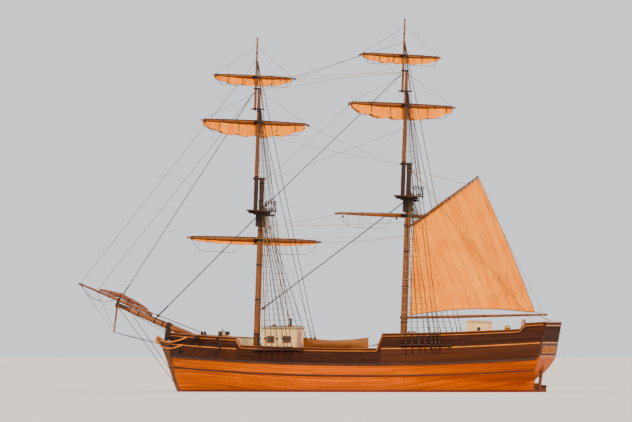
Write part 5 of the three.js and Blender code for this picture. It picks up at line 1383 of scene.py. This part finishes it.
def hoop(centre, radius, wall, high, count=24):
    """A flat hoop: its square section carried round a level circle."""
    middle = radius + wall / 2
    return carry(oval(centre, middle * AHEAD, middle * PORT, count),
                 square_ring(wall, high, min(wall, high) * 0.2), UP)


oiled_spruce = timber("oiled_spruce_yard", "varnished_spar", 0.4, "#8F5830", "#5E371C", stretch=(1.0, 16, 16),
                      bump=0.2)
for yard, row in YARDS.items():
    m, on, half, r = MASTS[yard[:4]], row["on"], row["half"], row["r"]
    _, mast_radius, sling = SLUNG[on]
    collar = clear_of(mast_radius(m, row["z"] - 0.08))
    spar_y = half * np.array([-1, -0.998, -0.75, -0.5, -0.12, 0.12, 0.5, 0.75, 0.998, 1])
    spar_r = yard_radius(row, spar_y) * np.array([0.8, 1, 1, 1, 1, 1, 1, 1, 1, 0.8])
    spar = turned([sling, 0, 0], PORT, np.c_[spar_y, spar_r], 16)
    shape(yard + "_yard_spar", [braced(spar, yard)], oiled_spruce, yard,
          replaces="main_yard" if yard == "main_course" else yard + "_yard")

    band_y, stay_y = half * np.array([-0.94, -0.6, 0.6, 0.94]), half * np.linspace(-0.93, 0.93, 13)
    jackstay = spot(sling, stay_y, yard_radius(row, stay_y) + 0.032)
    irons = [hoop([0, 0, 0], collar, 0.04, 0.16),
             boards([collar + 0.01, -0.07, -0.06], [sling - r * 0.75, 0.07, 0.06], 0.012),
             *bands([sling, 0, 0], PORT, zip(band_y, yard_radius(row, band_y)), 0.05, 0.008, 16),
             *bands([sling, 0, 0], PORT, [(-0.11, r), (0.11, r)], 0.06, 0.012, 16),
             carry(jackstay, round_ring(0.011, 6)), rope_line(jackstay, jackstay - 0.04 * UP, 0.014)]
    shape(yard + "_yard_irons", [braced(part, yard) for part in irons], black_iron, yard)

    share = np.linspace(0, 1, 25)
    foot_y = half * mix(0.14, 0.95, share)
    under = -yard_radius(row, foot_y)
    slack = spot(sling - 0.03, foot_y,
                 under - DROPS[on] * np.minimum(1, 1.4 * (1 - np.abs(2 * share - 1) ** 2.5)))
    held = [5, 10, 15, 20]
    stirrups = rope_line(spot(sling - 0.03, foot_y[held], under[held]), slack[held], 0.01)
    gear, lift_ring = [carry(slack, round_ring(0.014, 6)), stirrups], []
    if on != "lower":
        lift_h, lift_r = (m["head"] - 0.28, 0.135) if on == "topmast" else (m["truck"] - 0.55, 0.075)
        lift_h -= row["z"]
        arm = [sling, half * 0.95, yard_radius(row, half * 0.95)]
        gear.append(rope_line(arm, [0.01, lift_r, lift_h], 0.011))
        lift_ring.append(hoop([0, 0, lift_h], lift_r - 0.012, 0.024, 0.024, 16))
    shape(yard + "_footropes_and_lifts", [braced(part, yard) for part in both(*gear) + lift_ring],
          tarred_hemp, yard)


# Square sails, gathered up: flax canvas sewn of 600 mm cloths, bent to the jackstays. Clewlines and buntlines
# have hauled them up to the yards, where they hang in folds between gaskets, the fore course the tightest.
def canvas_of(name, light, dark):
    """Canvas sewn of cloths 600 mm wide, each its own shade, with double seams, stains and a plain weave."""
    made = finish(name, 0.85, "canvas", Sheen_Weight=0.15, Sheen_Roughness=0.6)
    where = add_node(made, "TexCoord", out="UV")
    cloths = add_node(made, "Math", {0: add_node(made, "SeparateXYZ", {0: where}, "X"), 1: 0.6},
                      operation="DIVIDE")
    within = add_node(made, "Math", {0: cloths}, operation="FRACT")
    within = add_node(made, "Math", {0: within, 1: 0.5}, operation="SUBTRACT")
    within = add_node(made, "Math", {0: within}, operation="ABSOLUTE")
    sewn = add_node(made, "MapRange", {"Value": within, "From Min": 0.455, "From Max": 0.475})
    number = add_node(made, "Math", {0: cloths}, operation="FLOOR")
    shade = add_node(made, "TexWhiteNoise", {"W": number}, noise_dimensions="1D")
    stains = add_node(made, "TexNoise", {"Vector": where, "Scale": 0.7, "Detail": 6.0, "Roughness": 0.6})
    drawn = add_node(made, "Mapping", {"Vector": where, "Scale": (5, 0.5, 1)})
    streaks = add_node(made, "TexNoise", {"Vector": drawn, "Scale": 1.0, "Detail": 4.0})
    worn = add_node(made, "Math", {0: shade, 1: 0.25, 2: stains}, operation="MULTIPLY_ADD")
    worn = add_node(made, "Math", {0: streaks, 1: 0.6, 2: worn}, operation="MULTIPLY_ADD")
    worn = add_node(made, "MapRange", {"Value": worn, "From Min": 0.6, "From Max": 1.25})
    colour = add_node(made, "Mix", {"Factor": worn, "A": light, "B": dark}, data_type="RGBA")
    seam = add_node(made, "VectorMath", {0: colour, "Scale": 0.72}, operation="SCALE")
    colour = add_node(made, "Mix", {"Factor": sewn, "A": colour, "B": seam}, data_type="RGBA")
    # The real cloth's threads are 1.5 mm apart; they are drawn at 12 mm, so that the weave shows.
    crossed = add_node(made, "Mapping", {"Vector": where, "Rotation": (0, 0, math.pi / 2)})
    warp, weft = (add_node(made, "TexWave", {"Vector": threads, "Scale": 26.0, "Distortion": 0.4}, "Fac")
                  for threads in (where, crossed))
    raised = add_node(made, "Math", {0: warp, 1: weft}, operation="ADD")
    raised = add_node(made, "Math", {0: sewn, 1: 2.5, 2: raised}, operation="MULTIPLY_ADD")
    dress(made, colour, raised, 0.35, 0.003)
    return made


# The canvas is pushed from its own cream to a strong orange: warm evening light painted into its colour.
flax = canvas_of("flax_canvas", "#FAA63E", "#DA7B22")


def cloth(name, grid, uv, body, replaces, material=flax, thick=0.004):
    """A sheet of canvas from a grid of points (rows, cols, 3), given its thickness evenly to both faces."""
    rows, cols = grid.shape[:2]
    index = np.arange(rows * cols).reshape(rows, cols)
    faces = np.stack([index[:-1, :-1], index[:-1, 1:], index[1:, 1:], index[1:, :-1]], -1).reshape(-1, 4)
    made = surface(name, grid.reshape(-1, 3), faces, uv.reshape(-1, 2)[faces.reshape(-1)], material, body, 60,
                   replaces)
    wall = made.modifiers.new("canvas_thickness", "SOLIDIFY")
    wall.thickness, wall.offset = thick, 0
    return made


def plump(v, number):
    """How full a gathered sail is along its yard: a power's cosine, nipped in at a sine's zeros."""
    nipped = 0.8 + 0.2 * np.abs(np.sin(9 * v + 0.35 * number)) ** 0.7
    return mix(np.cos(np.pi / 2 * np.abs(v) ** 1.6), 1, 0.16) * nipped


GATHERED = {
    "fore_course": dict(legs=19, flat=(11.0, 6.0), area=66.0, waves=0.35),
    "fore_topsail": dict(legs=9, flat=(10.6, 7.3), area=70.0, waves=1.0),
    "fore_topgallant": dict(legs=7, flat=(8.5, 3.1), area=23.5, waves=0.8),
    "main_topsail": dict(legs=9, flat=(10.6, 7.3), area=70.0, waves=1.0),
    "main_topgallant": dict(legs=7, flat=(8.5, 3.1), area=23.5, waves=0.8),
}
for number, (yard, cut) in enumerate(GATHERED.items()):
    row = YARDS[yard]
    half, r, hang, sling = row["half"], row["r"], row["hang"], SLUNG[row["on"]][2]
    legs, waves = cut["legs"], cut["waves"]
    v, q = np.linspace(-0.93, 0.93, 150), np.linspace(0, legs, legs * 9 + 1)[:, None]
    full, spar_r = plump(v, number), yard_radius(row, v * half)
    reach = row["deep"] * mix(full, 1, 0.25)
    # Soft waves along the cloth, each fold with its own: sums of sines whose phase moves on with the fold.
    fold = np.round(q / 2) + number
    wave = 0.5 * np.sin(17 * v + 2.1 * fold) + 0.3 * np.sin(31 * v - 1.3 * fold)
    wave = wave + 0.2 * np.sin(53 * v + 4.4 * fold)
    low = -(hang * full * (0.93 + 0.07 * wave * waves) + 0.5 * r)
    front, back = sling + 1.06 * reach, sling - 0.22 * reach
    first = q < 1
    a = np.where(first, mix(sling, front, np.sin(np.pi / 2 * np.minimum(1, q / 0.5)) ** 0.9),
                 mix(front, back, clamp((q - 1) / (legs - 1)) ** 0.85))
    a = a + 0.03 * waves * full * wave * clamp(q * 1.5) * np.where(first, 1, 0.4)
    folded = -(spar_r + 0.03) - 0.1 * hang * full * (1 + np.sin(2.9 * fold + 4 * v)) / 2
    peak = np.where(a > sling + spar_r + 0.02, row["lift"] * mix(full, 1, 0.4) * 0.6, folded)
    peak = np.where(first, spar_r + 0.045, peak)
    h = (peak + low) / 2 + (peak - low) / 2 * np.cos(np.pi * q)
    y = v * half + 0.05 * waves * wave * (1 - np.cos(np.pi * q)) * full
    cloth_uv = np.stack(alike(v * half * 1.08 + 40 * number, q * cut["flat"][1] / legs), -1)
    made = cloth(yard + "_sail_gathered", braced(spot(a, y, h), yard), cloth_uv, yard, yard + "_sail")

    # The gaskets pass round it where it is nipped in, at the zeros of the sine.
    tie = np.arange(-3, 4) * math.pi / 9 - 0.35 * number / 9
    tie = tie[np.abs(tie) <= 0.9]
    full = plump(tie, number)
    reach = row["deep"] * mix(full, 1, 0.25)
    low, high = -(hang * full + 0.5 * r) - 0.03, yard_radius(row, tie * half) + 0.05
    belts = oval(spot(sling + reach * 0.42, tie * half, (high + low) / 2), spot(reach * 0.68 + 0.045, 0, 0),
                 spot(0, 0, (high - low) / 2))
    belts = carry(belts, square_ring(0.05, 0.016, 0.004), PORT)
    shape(yard + "_gaskets", [braced(belts, yard)], tarred_hemp, yard)


# Furled jib: canvas coloured a dark red-brown, painted shade of the bow where it lies, rolled up along the
# top of the jib-boom round the foot of its stay, and stopped there with gaskets.
dark_jib_canvas = canvas_of("jib_canvas_painted_shade", "#8A5238", "#5F3424")
FURLED_FROM, FURLED_TO = 1.95, 5.6
# The full roll's half breadth and half height, and how far a gasket draws it in.
ROLL_HALF, ROLL_HIGH, DRAWN_IN = 0.165, 0.185, 0.88


def furled(v):
    """Where the roll lies along the boom, how full it is by a power of a sine, and how high its middle is."""
    at = mix(FURLED_FROM, FURLED_TO, v)
    return at, np.sin(np.pi * mix(0.06, 0.94, v)) ** 0.7, 0.445 + 0.08 * np.exp(-((at - 4.08) / 0.18) ** 2)


jib_v, jib_p = np.linspace(0, 1, 110), np.linspace(0, 1, 170)[:, None]
at, full, lifted = furled(jib_v)
full = full * (0.86 + 0.14 * np.abs(np.sin(16 * jib_v)) ** 0.7)
turn = 2 * np.pi * 7 * jib_p
roll = full * (0.4 + 0.56 * jib_p)
roll = roll * (1 + 0.05 * np.sin(3 * turn / 7 + 21 * jib_v) * jib_p + 0.04 * np.sin(47 * jib_v + turn))
jib_grid = on_bowsprit(at, lifted + 0.19 * full - ROLL_HIGH * roll * np.cos(turn),
                       ROLL_HALF * roll * np.sin(turn))
jib_uv = np.stack(alike(at * 1.5, jib_p * 5.2), -1)
jib = cloth("jib_furled", jib_grid, jib_uv, "hull", "furled_jib", dark_jib_canvas)
at, full, lifted = furled(np.arange(6) * math.pi / 16)
crown = lifted + 2 * ROLL_HIGH * DRAWN_IN * full + 0.02
jib_belts = oval(on_bowsprit(at, (crown + 0.2) / 2), (crown[:, None] - 0.2) / 2 * BOW_UP,
                 (ROLL_HALF * DRAWN_IN * full[:, None] + 0.03) * PORT)
shape("jib_gaskets", [carry(jib_belts, square_ring(0.045, 0.014, 0.004), BOW)], tarred_hemp)


# Spanker: the gaff sail abaft the mainmast, of the same canvas, its cloths running down parallel to the
# leech. Its luff is seized to ash hoops on the mast, its head is laced to the gaff, and boom and gaff swing
# on jaws round the mast.
SWUNG = math.radians(8)
GAFF_SPARS = {
    "boom": dict(z=5.05, length=9.5, r=0.105, tip=0.065, rise=math.radians(3.2)),
    "gaff": dict(z=11.3, length=5.7, r=0.09, tip=0.05, rise=math.radians(38)),
}


def swung(points):
    """From the spanker's own frame (aft is -x, to port, up the mast) to the ship's: swung out 8 degrees, then
    raked."""
    x, y, h = np.moveaxis(np.asarray(points, float), -1, 0)
    x, y = spun(x, y, SWUNG)
    return raked(spot(x, y, h), "main")


def jaw_radius(row):
    return clear_of(lower_radius(main, row["z"] - 0.11))


def taper(row, share):
    """Radius of boom or gaff: full for two fifths of its length, then down to the tip's."""
    return mix(row["r"], row["tip"], np.maximum(0, share - 0.4) / 0.6)


def heel_back(row):
    """How far abaft the mast's axis the spar's own axis starts."""
    return jaw_radius(row) + 0.012 + row["r"] * 0.8 * math.sin(row["rise"])


def along_spar(name, distance, above=0.0, y=0.0):
    """A point by its distance out along the boom or gaff from its heel, above its axis and to port."""
    row = GAFF_SPARS[name]
    distance, above, y = alike(distance, above, y)
    out, up = spun(distance, above, row["rise"])
    return spot(-heel_back(row) - out, y, row["z"] + up)


spar_irons = []
for name, row in GAFF_SPARS.items():
    length, r, z, inner = row["length"], row["r"], row["z"], jaw_radius(row)
    heel = along_spar(name, 0)
    way = along_spar(name, 1) - heel
    spar_rows = [(0, r * 0.66), (0.04, r * 0.8), (length * 0.4, r), (length - 0.02, row["tip"]),
                 (length, row["tip"] * 0.8)]
    cheek = [[0.03, inner + 0.075, z], [-inner * 0.9, inner * 0.75 + 0.06, z],
             *along_spar(name, [0.35, 0.9], 0, r * 0.95 + 0.02)]
    jaws = both(carry(cheek, square_ring(0.05, np.array([0.1, 0.15, 0.15, 0.05]), 0.012), UP))
    parts = [turned(heel, way, spar_rows, 16), hoop([0, 0, z], inner, 0.05, 0.2), *jaws]
    shape("spanker_" + name + "_spar", [swung(part) for part in parts], oiled_spruce, "spanker",
          replaces="spanker_" + name)
    places = [(d * length, taper(row, d)) for d in (0.55, 0.86, 0.985)]
    spar_irons += bands(heel, way, places, 0.05, 0.008, 16)
shape("spanker_spar_irons", [swung(part) for part in spar_irons], black_iron, "spanker")


def beside(name, back, gap):
    """Height of the line that runs that far above a spar's axis, at a distance abaft the mast."""
    row = GAFF_SPARS[name]
    return row["z"] + (back - heel_back(row)) * math.tan(row["rise"]) + gap / math.cos(row["rise"])


# How far abaft the mast's axis the sail's luff is, and the lower and upper end of its leech.
LUFF, CLEW, PEAK = 0.4, 8.9, 4.75


def spanker_point(a, b):
    """A point of the sail: a from luff to leech, b from foot to head. The foot is rounded, the leech a little
    too, and the belly is a sine across times a sine up."""
    foot_z = beside("boom", mix(LUFF, CLEW, a), 0.165) + 0.33 * np.sin(np.pi * a)
    head_z = beside("gaff", mix(LUFF, PEAK, a), -0.098)
    leech = mix(CLEW, PEAK, b) + 0.12 * np.sin(np.pi * b)
    belly = 0.42 * np.sin(np.pi * a ** 0.8) * (0.35 + 0.65 * np.sin(np.pi * b ** 0.9))
    return spot(-mix(LUFF, leech, a), -belly, mix(foot_z, head_z, b))


a, b = np.linspace(0, 1, 90), np.linspace(0, 1, 90)[:, None]
sail_grid = spanker_point(a, b)
# Pulls in the cloth: small waves that run in from each hoop at the luff, and up from the clew.
sail_grid[..., 1] += 0.022 * np.sin(2 * np.pi * 11 * b) * np.exp(-a / 0.06) * np.minimum(1, a / 0.01)
sail_grid[..., 1] += 0.018 * np.sin(26 * (a - b * 0.55)) * np.sin(np.pi * a) * np.sin(np.pi * b)
seam_v, seam_u = spun(sail_grid[..., 2], -sail_grid[..., 0], math.radians(24.5))
sail = cloth("spanker_sail_set", swung(sail_grid)[::-1], np.stack([seam_u, seam_v], -1)[::-1], "spanker",
             "spanker_sail", thick=0.005)

edge = np.linspace(0, 1, 41)
bolt_rope = np.concatenate([spanker_point(edge, 0), spanker_point(1, edge[1:]),
                            spanker_point(edge[::-1], 1)[1:], spanker_point(0, edge[::-1])[1:]])
bolt_rope[-1] = bolt_rope[0]
luff = spanker_point(0, np.linspace(0.03, 0.95, 11))
mast_hoops = [hoop([0, 0, z], 0.268 if z < 9.5 else 0.262, 0.02, 0.05) for z in luff[:, 2]]
lace_d = np.arange(0.35, 5.5, 0.32)
lace_r = taper(GAFF_SPARS["gaff"], lace_d / GAFF_SPARS["gaff"]["length"])
crown = along_spar("gaff", lace_d + 0.02, lace_r + 0.01)
middle = along_spar("gaff", lace_d, -0.035)
laces = oval(middle, crown - middle, (lace_r[:, None] + 0.016) * PORT, 16)
bent_on = [carry(bolt_rope, round_ring(0.017, 6)), rope_line(luff, luff * [0, 1, 1] - 0.285 * AHEAD, 0.014),
           carry(laces, round_ring(0.009, 6), AHEAD),
           rope_line(spanker_point(np.array([1, 0]), 0), along_spar("boom", [9.1, 0.12], 0.09), 0.014)]
shape("spanker_bolt_rope_and_lacing", [swung(part) for part in bent_on], tarred_hemp, "spanker")
shape("spanker_mast_hoops", [swung(part) for part in mast_hoops], turned_ash, "spanker")

# Manila: pale golden rope, laid up of three strands and not tarred, for all that is hauled on.
manila = three_strand("manila_rope", "#AE8B58", "#7A5C35")

# Reef points: short lengths of line worked through two bands of the sail, to tie its foot down in a blow.
through = spanker_point(np.linspace(0.06, 0.95, 15), np.array([[0.15], [0.3]]))
reef_lines = [rope_line(through + [0, face * 0.02, 0], through + [0, face * 0.04, -0.42], 0.009, rows=6)
              for face in (1, -1)]
shape("spanker_reef_points", [swung(part) for part in reef_lines], manila, "spanker")

LIFT_EYE = 15.05
topping = [*both(rope_line([-0.16, 0.12, LIFT_EYE], along_spar("boom", 8.2, 0, 0.085), 0.013)),
           rope_line([-0.2, 0, LIFT_EYE], along_spar("gaff", [2.6, 4.7], 0.08), 0.015),
           hoop([0, 0, LIFT_EYE], 0.185, 0.02, 0.04)]
shape("spanker_topping_lifts", [swung(part) for part in topping], manila, "spanker")


# Braces, vangs and sheets: manila ropes that lead from the yards, the gaff and the boom to the hull and the
# other mast. Each runs out at one end and is made fast at the other.
def led(name, fixed, moving, radius=0.012, sag=0.0):
    """One rope from a point on the hull to a point on a body that swings."""
    made = shape(name, [rope_line(fixed, moving, radius, sag, 30)], manila, None)
    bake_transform(made)


BRACE_TO = {
    "fore_course": ("main", -0.05, 0.215, 10.6), "fore_topsail": ("main", 0.56, 0.17, 15.4),
    "fore_topgallant": ("main", 0.62, 0.16, 21.7), "main_course": ("fore", -0.2, 0.21, 11.3),
    "main_topsail": ("fore", -0.12, 0.17, 14.4), "main_topgallant": ("fore", 0.3, 0.14, 20.5),
}
SIDES = (("port", 1), ("starboard", -1))
BLOCK_ROWS = [(-0.09, 0.02), (-0.075, 0.05), (0, 0.068), (0.075, 0.05), (0.09, 0.02)]
for yard, (mast, ahead, out, up) in BRACE_TO.items():
    row = YARDS[yard]
    sling, half = SLUNG[row["on"]][2], row["half"]
    blocks = []
    for name, side in SIDES:
        arm, fixed = braced([sling, side * half * 0.955, -0.02], yard), raked([ahead, side * out, up], mast)
        led(yard + "_brace_" + name, fixed, arm, 0.013, 0.12)
        way = unit(fixed - arm)
        blocks.append(turned(arm + 0.17 * way, way, BLOCK_ROWS, 8))
    if yard == "main_course":
        under = spot(sling, half * np.array([-0.88, -0.08, 0.08, 0.88]), -0.2)
        blocks.append(braced(turned(under, UP, BLOCK_ROWS, 8), yard))
    shape(yard + "_blocks", blocks, lignum, yard)

for name, side in SIDES:
    quarter = side_point(share_at(-12.1), rail_z(0.02) + 0.03, 0.07, side)
    led("vang_" + name, quarter, swung(along_spar("gaff", 5.55)), 0.011, 0.1)
    horse = spot(stern_x(4.7) + 0.12, side * 0.55, 4.76)
    led("spanker_sheet_" + name, horse, swung(along_spar("boom", 8.9, -0.05)), 0.014)


# Falls: the hauling parts of halyards, clewlines and buntlines, which come down from blocks under the tops to
# the pins along the bulwarks, and on the foremast to the fife rail too. The mainmast's rail has none: the
# boom swings over it.
FALLS = {
    "fore": [(1, -0.7, 0.75), (3, -0.6, 0.65), (6, -0.45, 0.7), (8, -0.3, 0.75)],
    "main": [(6, -0.5, 0.7), (8, -0.35, 0.75), (10, -0.25, 0.75)],
}
for mast, m in MASTS.items():
    pin, ahead, out = np.transpose(FALLS[mast])
    pins = np.concatenate(both(rail_pins[mast][pin.astype(int)]))
    heads = np.concatenate(both(spot(ahead, out, m["top"] - 0.25)))
    if mast == "fore":
        pins = np.concatenate([pins, fife_pins[0][[1, 2, 4, 5]]])
        heads = np.concatenate([heads, spot(-0.4, [-0.45, -0.3, 0.3, 0.45], m["top"] - 0.25)])
    heads = raked(heads, mast)
    falls = [rope_line(pins + 0.05 * UP, heads, 0.011), rope_line(heads, heads + 0.27 * UP, 0.014)]
    shape(mast + "_falls", falls, manila)
    shape(mast + "_fall_blocks", [turned(heads, UP, BLOCK_ROWS, 8)], lignum)
